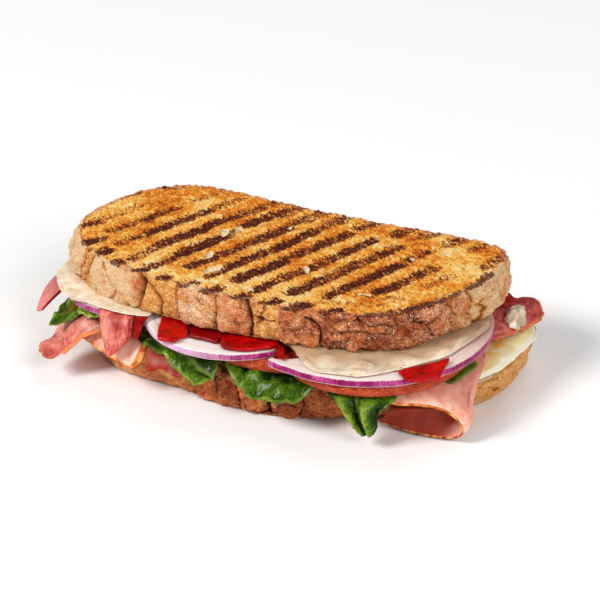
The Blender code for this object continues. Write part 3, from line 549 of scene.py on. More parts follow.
def layer(outline, surfaces, fine, coarse=3.0, depth=1e9, rows=1, bulge=0.0, fray=0.0, seed=0.0):
    """Closed layer between a lower and an upper surface over an outline, with a bulged, maybe frayed, edge."""
    loop = spline_loop(outline, fine)
    following = np.roll(loop, -1, 0)
    turn = np.sign(np.sum(loop[:, 0] * following[:, 1] - following[:, 0] * loop[:, 1]))
    run = following - np.roll(loop, 1, 0)
    outward = np.c_[run[:, 1], -run[:, 0]] / np.hypot(*run.T)[:, None] * turn
    if fray:
        loop = loop + outward * (lumps(loop, 2.3, seed, 2) * fray)[:, None]
    points, triangles, away = fill_loop(loop, fine, coarse, depth)
    low, high = surfaces(points, away)
    total, count = len(points), len(loop)
    vertices = [low, high]
    faces = [t[::-1] for t in triangles] + [[i + total for i in t] for t in triangles]
    ring = [list(range(count))]
    for row in range(rows):
        share = (row + 1) / (rows + 1)
        middle = low[:count] * (1 - share) + high[:count] * share
        middle[:, :2] += outward * bulge * math.sin(math.pi * share)
        vertices.append(middle)
        ring.append([2 * total + row * count + i for i in range(count)])
    ring.append([total + i for i in range(count)])
    for lower, upper in zip(ring, ring[1:]):
        for i in range(count):
            j = (i + 1) % count
            faces.append([lower[i], lower[j], upper[j], upper[i]])
    return np.vstack(vertices), faces


def cheese_surfaces(points, away):
    """Flat underside and a soft top that swells at the right end and drips past the rim."""
    x, y = points.T
    past = beyond(RIM_LOOP, points)
    drip = smooth(past, -1.5, 3.0)
    swell = smooth(x, 70, 82) * smooth(y, -14, 4) * 1.1
    inner = smooth(-past, 0.0, 4.0)
    uneven = lumps(points, 7.0, 3.0, 2) * 0.35
    high = CHEESE_HIGH + swell * inner - drip * 0.6 + uneven * smooth(away, 0.0, 2.0)
    low = np.full(len(x), CHEESE_LOW)
    return np.c_[points, low], np.c_[points, np.maximum(high - rounded(away, 0.5, 1.2), low + 0.3)]


CHEESE = [(-73, -6), (-69, -22), (-57, -32), (-30, -37), (0, -39), (28, -37), (46, -31), (62, -24), (75, -18),
          (81.5, -10), (85, -1), (87, 10), (88.5, 19), (88.7, 25), (86.5, 30), (82, 35), (74, 40), (64, 43.5),
          (36, 44.5), (0, 44.5), (-38, 42.5), (-58, 37.5), (-68, 26), (-73, 10)]
cheese_melt, tree, shader = new_finish("melted_cheese", Specular_IOR_Level=0.5, Subsurface_Weight=0.35,
                                       Subsurface_Scale=0.003, Subsurface_Radius=(1.0, 0.7, 0.3),
                                       Coat_Weight=0.5, Coat_Roughness=0.16, Roughness=0.26)
melt = maths(tree, "MULTIPLY_ADD", grain(tree, 6.0, 2.0), 0.75, maths(tree, "MULTIPLY", grain(tree, 1.6, 2.0), 0.25))
melted = tones(tree, melt, (0.34, paint(255, 242, 200)), (0.5, paint(255, 232, 166)), (0.68, paint(254, 214, 128)))
melted = blend(tree, maths(tree, "MULTIPLY", field(tree, "amber"), ease(tree, melt, 0.3, 0.6)), melted,
               paint(248, 190, 84))
melted = blend(tree, field(tree, "rim"), melted, paint(255, 248, 232))
tree.links.new(melted, shader.inputs["Base Color"])
relief(tree, shader, grain(tree, 3.4, 2.0), 0.16)
vertices, faces = layer(CHEESE, cheese_surfaces, 0.8, 3.0, 16.0, rows=3, bulge=0.5, fray=0.35, seed=4.0)
from_edge = from_outline(CHEESE, vertices) + lumps(vertices, 4.0, 9.0) * 1.2
food_piece("cheese_melt", ["cheese"], vertices, faces, cheese_melt,
           {"rim": (1.0 - smooth(from_edge, 0.4, 2.6)) * 0.7, "amber": smooth(from_edge, 3.5, 10.0)})


# Ham. Thin cooked slices, pink and moist with a smoked orange-brown rind. Two lie flat and droop
# over the front of the bread; the right one is folded over the corner and back under itself.

HAM_LEVEL, HAM_THICKNESS = 18.85, 0.9


def ripples(points, size, seed):
    """Plain noise over the plan, about -1 to 1, with waves of a size in mm."""
    spots = np.c_[points[:, :2] / size, np.full(len(points), seed)]
    return np.array([noise.noise(spot) for spot in spots.tolist()])


def sheet_faces(height, thickness, thin=0.55, rounding=0.6):
    """Two faces either side of a height function, spread along its own normal and thinner at the edge."""
    def surfaces(points, away):
        nudge = 0.05
        middle = height(points)
        slope_x = (height(points + (nudge, 0.0)) - middle) / nudge
        slope_y = (height(points + (0.0, nudge)) - middle) / nudge
        normal = np.c_[-slope_x, -slope_y, np.ones(len(points))]
        normal /= np.linalg.norm(normal, axis=1)[:, None]
        half = thickness / 2 * (thin + (1.0 - thin) * smooth(away, 0.0, rounding))[:, None]
        centre = np.c_[points, middle]
        return centre - normal * half, centre + normal * half
    return surfaces


def hanging(level, fall, reach, ripple, seed, start=0.0, creases=0.0):
    """Height that stays level inside the bread's rim and falls, rippling, outside it."""
    def height(points):
        past = beyond(RIM_LOOP, points)
        loose = smooth(past, -4.0, 2.0)
        plain = level - fall * smooth(past, start, start + reach)
        rippled = ripples(points, 6.0, seed) * ripple
        if creases:
            rippled = rippled + lumps(points, 2.4, seed, 2) * creases
        return plain + rippled * loose
    return height


def net_sheet(net, across, along, thickness, ripple=0.0, reach=7.0, seed=1.0, creases=0.0):
    """Thin closed sheet over a net of control points; also how far across and along each point is."""
    net = np.array(net, float)

    def run_curve(control, values):
        last = len(control) - 1
        index = np.minimum(values.astype(int), last - 1)
        t = (values - index)[:, None, None]
        p0, p1 = control[np.maximum(index - 1, 0)], control[index]
        p2, p3 = control[index + 1], control[np.minimum(index + 2, last)]
        return 0.5 * (2 * p1 + (p2 - p0) * t + (2 * p0 - 5 * p1 + 4 * p2 - p3) * t * t
                      + (3 * p1 - p0 - 3 * p2 + p3) * t ** 3)

    rows = run_curve(net, np.linspace(0, len(net) - 1, along + 1))
    grid = run_curve(rows.transpose(1, 0, 2), np.linspace(0, net.shape[1] - 1, across + 1)).transpose(1, 0, 2)
    normal = np.cross(np.gradient(grid, axis=1), np.gradient(grid, axis=0))
    normal /= np.linalg.norm(normal, axis=2)[:, :, None]
    u, v = np.meshgrid(np.linspace(0, 1, across + 1), np.linspace(0, 1, along + 1))
    flat = grid.reshape(-1, 3)
    shift = np.zeros(len(flat))
    if ripple:
        shift += ripples(flat, reach, seed) * ripple
    if creases:
        shift += lumps(flat, 2.6, seed, 2) * creases
    grid = grid + normal * shift.reshape(u.shape)[:, :, None]
    rim = np.minimum(np.minimum(u, 1 - u) * across, np.minimum(v, 1 - v) * along)
    half = (thickness / 2 * (0.55 + 0.45 * smooth(rim, 0.0, 1.0)))[:, :, None]
    first = (grid + normal * half).reshape(-1, 3)
    second = (grid - normal * half).reshape(-1, 3)
    total, wide = len(first), across + 1
    faces = []
    for j in range(along):
        for i in range(across):
            a = j * wide + i
            faces.append([a, a + 1, a + wide + 1, a + wide])
            faces.append([a + total, a + wide + total, a + wide + 1 + total, a + 1 + total])
    border = list(range(across)) + [j * wide + across for j in range(along)]
    border += [along * wide + i for i in range(across, 0, -1)] + [j * wide for j in range(along, 0, -1)]
    for a, b in zip(border, border[1:] + border[:1]):
        faces.append([b, a, a + total, b + total])
    return np.vstack([first, second]), faces, np.tile(u.ravel(), 2), np.tile(v.ravel(), 2)


ham_finish, tree, shader = new_finish("ham", Specular_IOR_Level=0.05, Subsurface_Weight=0.25,
                                      Subsurface_Scale=0.0025, Subsurface_Radius=(1.0, 0.45, 0.35),
                                      Coat_Weight=0.03, Coat_Roughness=0.12, Roughness=0.45)
meat = maths(tree, "MULTIPLY_ADD", grain(tree, 5.5, 3.0, warp=0.6), 0.7,
             maths(tree, "MULTIPLY", grain(tree, 0.8, 2.0, stretch=(1, 0.5, 1)), 0.3))
pink = tones(tree, meat, (0.34, paint(255, 224, 206)), (0.5, paint(254, 196, 170)), (0.64, paint(240, 148, 122)))
fatty = blend(tree, grain(tree, 2.4, 3.0), paint(210, 102, 80), paint(244, 184, 164))
pink = blend(tree, field(tree, "fat"), pink, fatty)
# Painted shade: the shade field turns the pink into a dark red where the meat lies in shade, on the middle slice under
# the leaves and inside the fold.
pink = blend(tree, field(tree, "shade"), pink, blend(tree, grain(tree, 4.0, 3.0), paint(96, 12, 6), paint(182, 58, 36)))
rind = ease(tree, maths(tree, "MULTIPLY_ADD", grain(tree, 1.2, 2.0), 0.35, field(tree, "rind")), 0.5, 0.8)
browned = tones(tree, grain(tree, 2.4, 3.0), (0.36, paint(170, 76, 26)), (0.5, paint(222, 128, 58)),
                (0.64, paint(242, 176, 104)))
smoked = maths(tree, "MULTIPLY", field(tree, "burnt"), ease(tree, grain(tree, 1.6, 3.0), 0.5, 0.62))
browned = blend(tree, smoked, browned, paint(70, 26, 12))
pink = blend(tree, rind, pink, browned)
tree.links.new(pink, shader.inputs["Base Color"])
relief(tree, shader, maths(tree, "MULTIPLY_ADD", grain(tree, 0.7, 2.0), 0.5, grain(tree, 2.0, 2.0)), 0.14)

HAM_LEFT = [(-82, -27), (-80, -35), (-73, -41), (-65, -45.5), (-58, -48.5), (-52, -50.5), (-47.5, -51), (-45, -47),
            (-46, -40), (-46, -10), (-46, 20), (-47, 44), (-58, 42), (-68, 36), (-75, 24), (-78, 5), (-81, -15)]
HAM_MIDDLE = [(-44, -40), (-43.5, -47), (-41, -51.5), (-36, -50), (-31, -51.5), (-27, -51.5), (-22, -46),
              (-17, -38), (-15, 0), (-16, 44), (-28, 46), (-42, 45), (-44, 10)]
HAM_LEFT_RIND = [(-45.4, -36), (-45.2, -46), (-47, -53.5)]
HAM_MIDDLE_RIND = [(-44, -30), (-43.6, -46), (-41.5, -52)]
for title, outline, height, rind_line in (
        ("ham_left", HAM_LEFT,
         hanging(HAM_LEVEL, fall=7.2, reach=11.0, ripple=1.2, seed=2.0, start=0.5, creases=0.12), HAM_LEFT_RIND),
        ("ham_middle", HAM_MIDDLE,
         hanging(HAM_LEVEL, fall=6.5, reach=9.0, ripple=0.9, seed=5.0, start=0.8, creases=0.12), HAM_MIDDLE_RIND)):
    vertices, faces = layer(outline, sheet_faces(height, HAM_THICKNESS), 0.7, 3.0, 22.0, bulge=0.25, fray=0.25,
                            seed=6.0)
    away = distance_to(np.array(rind_line, float), vertices[:, :2], closed=False)
    middle = float(title == "ham_middle")
    thin_rim = (1.0 - smooth(from_outline(outline, vertices), 0.1, 0.7)) * (0.75 - 0.4 * middle)
    # The middle slice is painted dark red nearly all over as painted shade.
    fields = {"rind": np.maximum((1.0 - smooth(away, 1.2, 3.0)) * (1.0 - middle), thin_rim),
              "shade": middle * (0.97 + lumps(vertices, 5.0, 12.0) * 0.3), "fat": 0.0, "burnt": 0.0}
    food_piece(title + "_slice", [title], vertices, faces, ham_finish, fields)

HAM_FOLD = [
    [(42, -41, 18.9), (48, -44, 18.9), (57, -46, 18), (65.3, -42, 17), (71.6, -38.5, 15), (76, -36.5, 12),
     (79.5, -36, 8), (79.5, -36, 4.5), (76.5, -35.5, 2.2), (71, -36, 1.4), (63, -36.5, 1.3), (55, -36.5, 2),
     (47, -36.5, 3)],
    [(40, -34, 18.9), (47, -36, 18.9), (56, -37, 18.9), (65, -34, 18.6), (72, -31, 17.9), (77, -30, 15.2),
     (81, -31, 11.5), (81.5, -31.5, 7.5), (78, -32.3, 4.6), (72, -32.6, 3.4), (64, -33.6, 3), (56, -34.6, 3.4),
     (48.5, -35.6, 4.4)],
    [(36, -20, 18.9), (45, -20, 18.9), (54, -20, 18.9), (63, -20, 19), (71, -20, 19.2), (78, -21, 18.9),
     (79.6, -26.4, 17), (80.4, -27.2, 13), (79, -28.8, 10), (75, -30, 7.5), (66, -32.4, 6.6), (58, -34.6, 6.6),
     (50.5, -36.4, 7)],
    [(20, 46, 18.9), (34, 47, 18.9), (48, 45, 18.9), (60, 30, 18.9), (69, 14, 19.3), (75, 2, 19.6),
     (78, -4, 20), (78.9, -16.5, 18.9), (79.2, -23.8, 15.5), (77.5, -27.8, 13), (70.5, -32, 12), (61.5, -36, 11.5),
     (53.5, -39, 11)],
]
vertices, faces, u, v = net_sheet(HAM_FOLD, 200, 90, HAM_THICKNESS, seed=9.0, creases=0.07)
# The inside of the fold is painted dark red as painted shade.
fields = {"rind": 1.0 - smooth(v + lumps(vertices, 3.0, 8.0) * 0.012, 0.01, 0.08),
          "shade": smooth(u, 0.58, 0.76) * 0.95,
          "fat": smooth(v, 0.06, 0.4) * smooth(u, 0.18, 0.42) * (1.0 - smooth(u, 0.56, 0.64)) * 0.9,
          "burnt": smooth(u, 0.3, 0.6)}
food_piece("ham_fold", ["ham_right"], vertices, faces, ham_finish, fields)


# Cured meat at the left. A frilly shaving of dry-cured pork, dark red with pale fat, its edge ragged
# and curled; it lies on the ham under the onion.

cured_finish, tree, shader = new_finish("cured_meat", Specular_IOR_Level=0.06, Subsurface_Weight=0.15,
                                        Subsurface_Scale=0.002, Subsurface_Radius=(1.0, 0.35, 0.25),
                                        Coat_Weight=0.06, Coat_Roughness=0.14)
fibres = grain(tree, 1.0, 3.0, stretch=(0.6, 2.6, 3.2), turn=0.25, rough=0.6, warp=0.3)
streak = maths(tree, "MULTIPLY_ADD", grain(tree, 6.0, 3.0, warp=1.0), 0.7, maths(tree, "MULTIPLY", fibres, 0.42))
streak = maths(tree, "SUBTRACT", streak, 0.04)
streak = maths(tree, "ADD", streak, maths(tree, "MULTIPLY", maths(tree, "SUBTRACT", field(tree, "deep"), 0.5), 0.34))
cured = tones(tree, streak, (0.28, paint(240, 192, 172)), (0.42, paint(226, 144, 126)), (0.58, paint(198, 94, 86)),
              (0.8, paint(140, 24, 26)))
edge = ease(tree, maths(tree, "MULTIPLY_ADD", grain(tree, 1.5, 2.0), 0.4, field(tree, "edge")), 0.6, 0.95)
dried = blend(tree, fibres, paint(204, 78, 30), paint(248, 166, 92))
tree.links.new(blend(tree, edge, cured, dried), shader.inputs["Base Color"])
tree.links.new(maths(tree, "MULTIPLY_ADD", streak, 0.3, 0.3), shader.inputs["Roughness"])
relief(tree, shader, maths(tree, "MULTIPLY_ADD", grain(tree, 0.9, 2.0), 0.4, grain(tree, 2.6, 3.0, warp=0.8)), 0.3)

CURED_LEFT = [(-91, -46), (-90, -48.5), (-88, -51.5), (-82.5, -54), (-80.5, -50.5), (-78, -50), (-76, -47.5),
              (-71, -45.5), (-64, -43), (-58, -38), (-53, -18), (-57, 0), (-66, 6), (-76, -4), (-83, -16), (-88, -28),
              (-89.5, -38)]
frill_height = hanging(21.6, fall=11.5, reach=22.0, ripple=1.6, seed=50.0, start=1.0, creases=0.16)
vertices, faces = layer(CURED_LEFT, sheet_faces(frill_height, 1.0), 0.6, 2.5, 24.0, bulge=0.2, fray=0.55, seed=13.0)
lowered = smooth(-vertices[:, 2], -13.5, -10.0)
browned_share = np.clip(0.3 + 0.6 * smooth(vertices[:, 0], -84, -74) + lumps(vertices, 2.4, 71.0), 0.0, 0.95)
food_piece("cured_frill", ["cured_left"], vertices, faces, cured_finish,
           {"edge": (1.0 - smooth(from_outline(CURED_LEFT, vertices), 0.3, 2.8)) * browned_share,
            "deep": 0.3 + 0.5 * lowered})


# Spinach. Soft young leaves, dark green and glossy, puckered between their veins. They are laid loose
# on the ham and hang out over the front crust; the longest one hangs down in pleats.

LEAF_LEVEL, LEAF_THICKNESS = 20.4, 0.55
leaf_finish, tree, shader = new_finish("spinach", Specular_IOR_Level=0.06, Subsurface_Weight=0.04,
                                       Subsurface_Scale=0.0015, Subsurface_Radius=(0.5, 1.0, 0.2),
                                       Coat_Weight=0.13, Coat_Roughness=0.14)
blade = maths(tree, "MULTIPLY_ADD", grain(tree, 4.0, 3.0), 0.4, maths(tree, "MULTIPLY", grain(tree, 0.8, 2.0), 0.4))
# Painted light and shade: the light field lightens the green; it holds each leaf's own tone, painted light on the domes
# between the veins and on raised folds, and a paler edge.
blade = maths(tree, "ADD", blade, maths(tree, "MULTIPLY", field(tree, "light"), 0.5))
green = tones(tree, blade, (0.3, paint(16, 36, 0)), (0.46, paint(52, 86, 8)), (0.66, paint(112, 138, 34)),
              (0.95, paint(192, 200, 96)))
green = blend(tree, maths(tree, "MULTIPLY", field(tree, "olive"), 0.9), green, paint(112, 74, 6))
green = blend(tree, maths(tree, "MULTIPLY", field(tree, "vein"), 0.38), green, paint(150, 176, 84))
tree.links.new(green, shader.inputs["Base Color"])
tree.links.new(maths(tree, "MULTIPLY_ADD", grain(tree, 1.5, 2.0), 0.25, 0.2), shader.inputs["Roughness"])
relief(tree, shader, maths(tree, "MULTIPLY_ADD", grain(tree, 0.8, 2.0), 0.3, grain(tree, 2.4, 2.0)), 0.2)


def vein_pattern(points, midrib, spacing):
    """Vein strength and how domed the blade is between its veins."""
    line = np.array(midrib, float)
    lengths = np.r_[0.0, np.cumsum(np.hypot(*np.diff(line, axis=0).T))]
    best, along, side = np.full(len(points), 1e9), np.zeros(len(points)), np.zeros(len(points))
    for k, (a, b) in enumerate(zip(line, line[1:])):
        run = b - a
        t = np.clip(((points - a) @ run) / (run @ run), 0.0, 1.0)
        offset = points - (a + t[:, None] * run)
        distance = np.hypot(*offset.T)
        nearer = distance < best
        best = np.where(nearer, distance, best)
        along = np.where(nearer, lengths[k] + t * np.hypot(*run), along)
        side = np.where(nearer, np.sign(run[0] * offset[:, 1] - run[1] * offset[:, 0]), side)
    source = (along - best * 0.75 + best ** 2 * 0.012 + np.where(side > 0, 0.5 * spacing, 0.0)) / spacing
    source = source + lumps(points, 6.0, 77.0, 2) * 0.8
    gap = np.abs((source + 0.5) % 1.0 - 0.5)
    rib = 1.0 - smooth(best, 0.35, 0.9)
    lateral = (1.0 - smooth(gap * spacing, 0.1, 0.45)) * (1.0 - 0.7 * smooth(best, 4.0, 12.0))
    return np.maximum(rib, lateral * 0.6), np.sin(math.pi * np.clip(gap * 2.0, 0, 1) * 0.5) * smooth(best, 0.2, 3.0)


def leaf(title, outline, level, fall, reach, ripple, seed, start, thickness, midrib, spacing, light, olive=0.0):
    """One leaf laid on the stack and hanging past the rim."""
    plain = hanging(level, fall, reach, ripple, seed, start, creases=0.12)

    def height(points):
        dome = vein_pattern(points, midrib, spacing)[1]
        loose = smooth(beyond(RIM_LOOP, points), -4.0, 1.0)
        return plain(points) + ((dome - 0.5) * 0.9 + lumps(points, 4.8, seed + 5.0) * 1.7) * loose

    vertices, faces = layer(outline, sheet_faces(height, thickness), 0.55, 2.5, 20.0, bulge=0.1, fray=0.18, seed=seed)
    vein, dome = vein_pattern(vertices[:, :2], midrib, spacing)
    rim = from_outline(outline, vertices)
    border = 1.0 - smooth(rim, 0.3, 1.3)
    folded = lumps(vertices[:, :2], 4.8, seed + 5.0)
    # light: the leaf's own tone, painted light on the domes and raised lumps, and a paler edge.
    fields = {"vein": np.clip(vein + border * 0.35, 0, 1),
              "light": light + 0.2 * dome - 0.12 + border * 0.2 + folded * 0.3,
              "olive": olive * smooth(rim + lumps(vertices, 4.0, 3.0) * 2.0, 2.0, 7.0)}
    food_piece(title + "_leaf", [title], vertices, faces, leaf_finish, fields)


LEAF_CENTRE = [(-12.5, -38), (-12, -44), (-8, -49.5), (-2, -54), (6, -56.5), (13, -57), (20, -54.5), (25, -49.5),
               (27.5, -43), (26, -30), (10, -24), (-8, -28)]
leaf("spinach_centre", LEAF_CENTRE, LEAF_LEVEL, fall=6.5, reach=13.0, ripple=2.2, seed=11.0, start=1.0,
     thickness=LEAF_THICKNESS, midrib=[(-14, -37), (4, -42), (20, -44), (30, -45)], spacing=8.5, light=0.08)
LEAF_CENTRE_LEFT = [(-54.5, -35), (-51, -41.5), (-45, -45.5), (-38, -47.5), (-30, -51.5), (-24, -54), (-17, -56),
                    (-13.5, -52), (-13.2, -46), (-14, -36), (-20, -27), (-40, -25)]
leaf("spinach_centre_left", LEAF_CENTRE_LEFT, LEAF_LEVEL, fall=7.0, reach=12.0, ripple=1.6, seed=14.0, start=1.6,
     thickness=LEAF_THICKNESS, midrib=[(-54, -36), (-44, -42), (-30, -46), (-13, -52)], spacing=7.0, light=0.12)
LEAF_RIGHT = [(66, -20), (69.5, -26), (73, -26), (75.6, -18), (77, -11), (73, -8), (66, -12)]
leaf("spinach_right", LEAF_RIGHT, 20.5, fall=1.0, reach=8.0, ripple=0.5, seed=17.0, start=0.0, thickness=0.5,
     midrib=[(68, -28), (76, -8)], spacing=5.0, light=0.2)
LEAF_LEFT = [(-86.6, -45.6), (-85.4, -43.8), (-82, -38.8), (-78.6, -35.3), (-72, -30), (-62, -24), (-66, -19),
             (-80, -19), (-90, -24.5), (-91, -28), (-90.4, -33), (-88.8, -39), (-87.6, -44)]
leaf("spinach_left", LEAF_LEFT, 23.4, fall=3.6, reach=14.0, ripple=1.2, seed=20.0, start=1.0,
     thickness=LEAF_THICKNESS, midrib=[(-87, -46), (-82, -36), (-70, -22)], spacing=9.0, light=0.16, olive=0.9)
LEAF_SLIVER = [(-80, -34), (-78.6, -37.4), (-75.8, -40.4), (-72.4, -41.9), (-69.6, -41.2), (-66, -38), (-63, -33),
               (-70, -28), (-79, -29)]
leaf("spinach_sliver", LEAF_SLIVER, 25.15, fall=0.6, reach=8.0, ripple=0.5, seed=23.0, start=0.0,
     thickness=LEAF_THICKNESS, midrib=[(-82, -36), (-62, -34)], spacing=5.0, light=0.55)

LEAF_HANGING = [
    [(31, -38, 20.3), (37, -37, 20.3), (43, -36, 20.3), (50, -37, 20.4), (56, -39, 20.4)],
    [(31, -47, 20.2), (37, -47.5, 20.4), (43, -47, 20.4), (50, -47, 20.5), (57.5, -47, 20.2)],
    [(33, -51, 18), (38, -52.2, 18.4), (43.5, -51.2, 18), (49, -52.2, 18.2), (55, -50, 18.4)],
    [(38.5, -51.5, 14), (41, -53, 13.6), (44.5, -51.4, 13.5), (48.5, -52.8, 13.8), (52, -50.6, 14.2)],
    [(42, -51, 9.5), (43.5, -52.4, 9), (46, -51, 9), (49, -52.2, 9.2), (51.8, -50.6, 9.6)],
    [(45.5, -50.6, 5.4), (46.6, -51.4, 5), (47.8, -50.6, 4.9), (49.2, -51.2, 5), (50.4, -50.4, 5.6)],
]
vertices, faces, u, v = net_sheet(LEAF_HANGING, 60, 90, LEAF_THICKNESS, seed=27.0, creases=0.22)
spread = np.c_[(u - 0.5) * 22.0, v * 34.0]
vein, dome = vein_pattern(spread, [(0.0, 0.0), (0.6, 17.0), (0.0, 36.0)], 6.5)
pleat = np.sin(u * 15.0 + 0.8 * np.sin(v * 4.0)) * smooth(v, 0.2, 0.5) * (1.0 - 0.5 * smooth(v, 0.8, 1.0))
vertices[:, 1] += 1.5 * pleat + 0.6 * (dome - 0.5)
border = 1.0 - smooth(np.minimum(u, 1 - u), 0.0, 0.07)
# Its light field paints light and shade across the pleats, and light on the domes between the veins.
food_piece("spinach_hanging_leaf", ["spinach_hanging"], vertices, faces, leaf_finish,
           {"vein": np.clip(vein * 0.8 + border * 0.25, 0, 1),
            "light": 0.16 * dome + border * 0.1 + 0.05 - 0.5 * pleat, "olive": 0.0})


# Tomato. Two round slices of a ripe tomato, cut about 5 mm thick: a wet cut face and a smooth skin
# round the edge. The centre one is shown where the right one doesn't cover it.

def round_slice(centre, reach_x, reach_y, left_end=-1e9, right_end=1e9):
    """Outline of a round slice, cut straight where its neighbour begins."""
    turns = np.linspace(0.0, 2 * math.pi, 40, endpoint=False)
    return [(float(np.clip(centre[0] + reach_x * math.cos(a), left_end, right_end)), centre[1] + reach_y * math.sin(a))
            for a in turns]


def flat_cut(low, high, rounding, uneven, seed):
    """Two cut faces, a little uneven, rounded to the rim."""
    def surfaces(points, away):
        ring = rounded(away, rounding, rounding * 1.5)
        bumpy = lumps(points, 5.0, seed, 2) * uneven * smooth(away, 0.3, 2.0)
        return np.c_[points, low + ring], np.c_[points, high - ring - np.abs(bumpy)]
    return surfaces


TOMATO_LOW, TOMATO_HIGH = 21.15, 25.8
tomato_finish, tree, shader = new_finish("tomato", Specular_IOR_Level=0.06, Subsurface_Weight=0.2,
                                         Subsurface_Scale=0.003, Subsurface_Radius=(1.0, 0.3, 0.15),
                                         Coat_Weight=0.06, Coat_Roughness=0.14, Roughness=0.42)
speck = maths(tree, "MULTIPLY_ADD", grain(tree, 0.9, 2.0), 0.6, maths(tree, "MULTIPLY", grain(tree, 5.0, 2.0), 0.4))
skin = tones(tree, speck, (0.36, paint(138, 42, 16)), (0.5, paint(174, 66, 34)), (0.64, paint(198, 98, 62)))
# Painted highlights: fine pale specks on the skin stand in for glints on its wet surface.
skin_glints = ease(tree, grain(tree, 0.5, 2.0, rough=0.6), 0.56, 0.66)
skin = blend(tree, maths(tree, "MULTIPLY", skin_glints, 0.2), skin, paint(238, 176, 144))
flesh = tones(tree, grain(tree, 3.4, 3.0), (0.36, paint(150, 28, 16)), (0.5, paint(196, 58, 36)),
              (0.66, paint(224, 112, 80)))
tree.links.new(blend(tree, field(tree, "skin"), flesh, skin), shader.inputs["Base Color"])
relief(tree, shader, grain(tree, 0.9, 2.0), 0.06)
TOMATO_RIGHT = round_slice((36, -12), 38, 41, left_end=17.3)
TOMATO_CENTRE = round_slice((1, -8), 40, 41, right_end=16.8)
for title, outline in (("tomato_right", TOMATO_RIGHT), ("tomato_centre", TOMATO_CENTRE)):
    cut_faces = flat_cut(TOMATO_LOW, TOMATO_HIGH, rounding=0.5, uneven=0.35, seed=5.0)
    vertices, faces = layer(outline, cut_faces, 0.8, 3.0, 12.0, rows=7, bulge=0.7)
    food_piece(title + "_slice", [title], vertices, faces, tomato_finish,
               {"skin": 1.0 - smooth(from_outline(outline, vertices), 0.5, 1.0)})


# Red onion. Rings of a thinly sliced onion: crisp white flesh in layers under a purple skin with
# fine upright streaks. Each ring is one section carried along an arc.

ONION_LOW, ONION_HIGH = 26.15, 29.2
ONION_LAYER_WAVES = 8.2
onion_finish, tree, shader = new_finish("red_onion", Specular_IOR_Level=0.12, Subsurface_Weight=0.35,
                                        Subsurface_Scale=0.002, Subsurface_Radius=(1.0, 0.8, 0.9),
                                        Coat_Weight=0.08, Coat_Roughness=0.12, Roughness=0.3)
streaks = grain(tree, 0.6, 3.0, stretch=(1.0, 1.0, 8.0), rough=0.65)
broad = grain(tree, 6.0, 2.0)
depth_in = field(tree, "depth")
purple = tones(tree, maths(tree, "MULTIPLY_ADD", broad, 0.5, maths(tree, "MULTIPLY", streaks, 0.5)),
               (0.36, paint(112, 8, 66)), (0.5, paint(156, 24, 98)), (0.64, paint(206, 98, 164)))
lilac = blend(tree, streaks, paint(200, 140, 190), paint(240, 214, 232))
faded = ease(tree, maths(tree, "MULTIPLY_ADD", streaks, 0.4, field(tree, "faded")), 0.35, 0.95)
purple = blend(tree, faded, purple, lilac)
layered = maths(tree, "ABSOLUTE", maths(tree, "SINE", maths(tree, "MULTIPLY", depth_in, ONION_LAYER_WAVES)))
white = blend(tree, ease(tree, layered, 0.0, 0.22), paint(212, 172, 188), paint(238, 231, 226))
white = blend(tree, ease(tree, maths(tree, "MULTIPLY_ADD", broad, 0.5, depth_in), 0.95, 1.3), white,
              paint(232, 194, 188))
# Painted shadow: the flesh is darkened to a pinkish brown where the ring lies in the top crust's shadow.
white = blend(tree, field(tree, "crust_shadow"), white, paint(196, 142, 128))
inked = ease(tree, maths(tree, "MULTIPLY_ADD", streaks, 0.05, depth_in), 0.045, 0.075)
onion = blend(tree, inked, purple, white)
onion = blend(tree, ease(tree, field(tree, "foot"), 0.2, 0.8), onion, paint(234, 200, 214))
tree.links.new(onion, shader.inputs["Base Color"])
relief(tree, shader, streaks, 0.06)


def start_tree(title, sizes, count):
    """A node tree with named size inputs and a whole-number input; also its nodes, links and entry."""
    made = bpy.data.node_groups.new(title, "GeometryNodeTree")
    face = made.interface
    face.new_socket("Geometry", in_out="INPUT", socket_type="NodeSocketGeometry")
    for size in sizes:
        face.new_socket(size, in_out="INPUT", socket_type="NodeSocketFloat")
    face.new_socket(count, in_out="INPUT", socket_type="NodeSocketInt")
    face.new_socket("Geometry", in_out="OUTPUT", socket_type="NodeSocketGeometry")
    return made, made.nodes, made.links, made.nodes.new("NodeGroupInput")


def end_tree(made, geometry, finish):
    """The end of a node tree: instances made real, and their material."""
    whole = made.nodes.new("GeometryNodeRealizeInstances")
    made.links.new(geometry, whole.inputs["Geometry"])
    coat = made.nodes.new("GeometryNodeSetMaterial")
    coat.inputs["Material"].default_value = finish
    made.links.new(whole.outputs["Geometry"], coat.inputs["Geometry"])
    leave = made.nodes.new("NodeGroupOutput")
    made.links.new(coat.outputs["Geometry"], leave.inputs["Geometry"])
    return made


def ring_tree(finish):
    """Nodes that carry a closed section along an arc, its sizes as inputs."""
    made, nodes, links, enter = start_tree("onion_ring", ("Radius", "Start angle", "Sweep angle"), "Steps")
    arc = nodes.new("GeometryNodeCurveArc")
    arc.mode = "RADIUS"
    links.new(enter.outputs["Steps"], arc.inputs["Resolution"])
    links.new(enter.outputs["Radius"], arc.inputs["Radius"])
    links.new(enter.outputs["Start angle"], arc.inputs["Start Angle"])
    links.new(enter.outputs["Sweep angle"], arc.inputs["Sweep Angle"])
    upright = nodes.new("GeometryNodeSetCurveNormal")
    upright.mode = "Z_UP"
    links.new(arc.outputs["Curve"], upright.inputs["Curve"])
    sweep = nodes.new("GeometryNodeCurveToMesh")
    sweep.inputs["Fill Caps"].default_value = True
    links.new(upright.outputs["Curve"], sweep.inputs["Curve"])
    links.new(enter.outputs["Geometry"], sweep.inputs["Profile Curve"])
    return end_tree(made, sweep.outputs["Mesh"], finish)


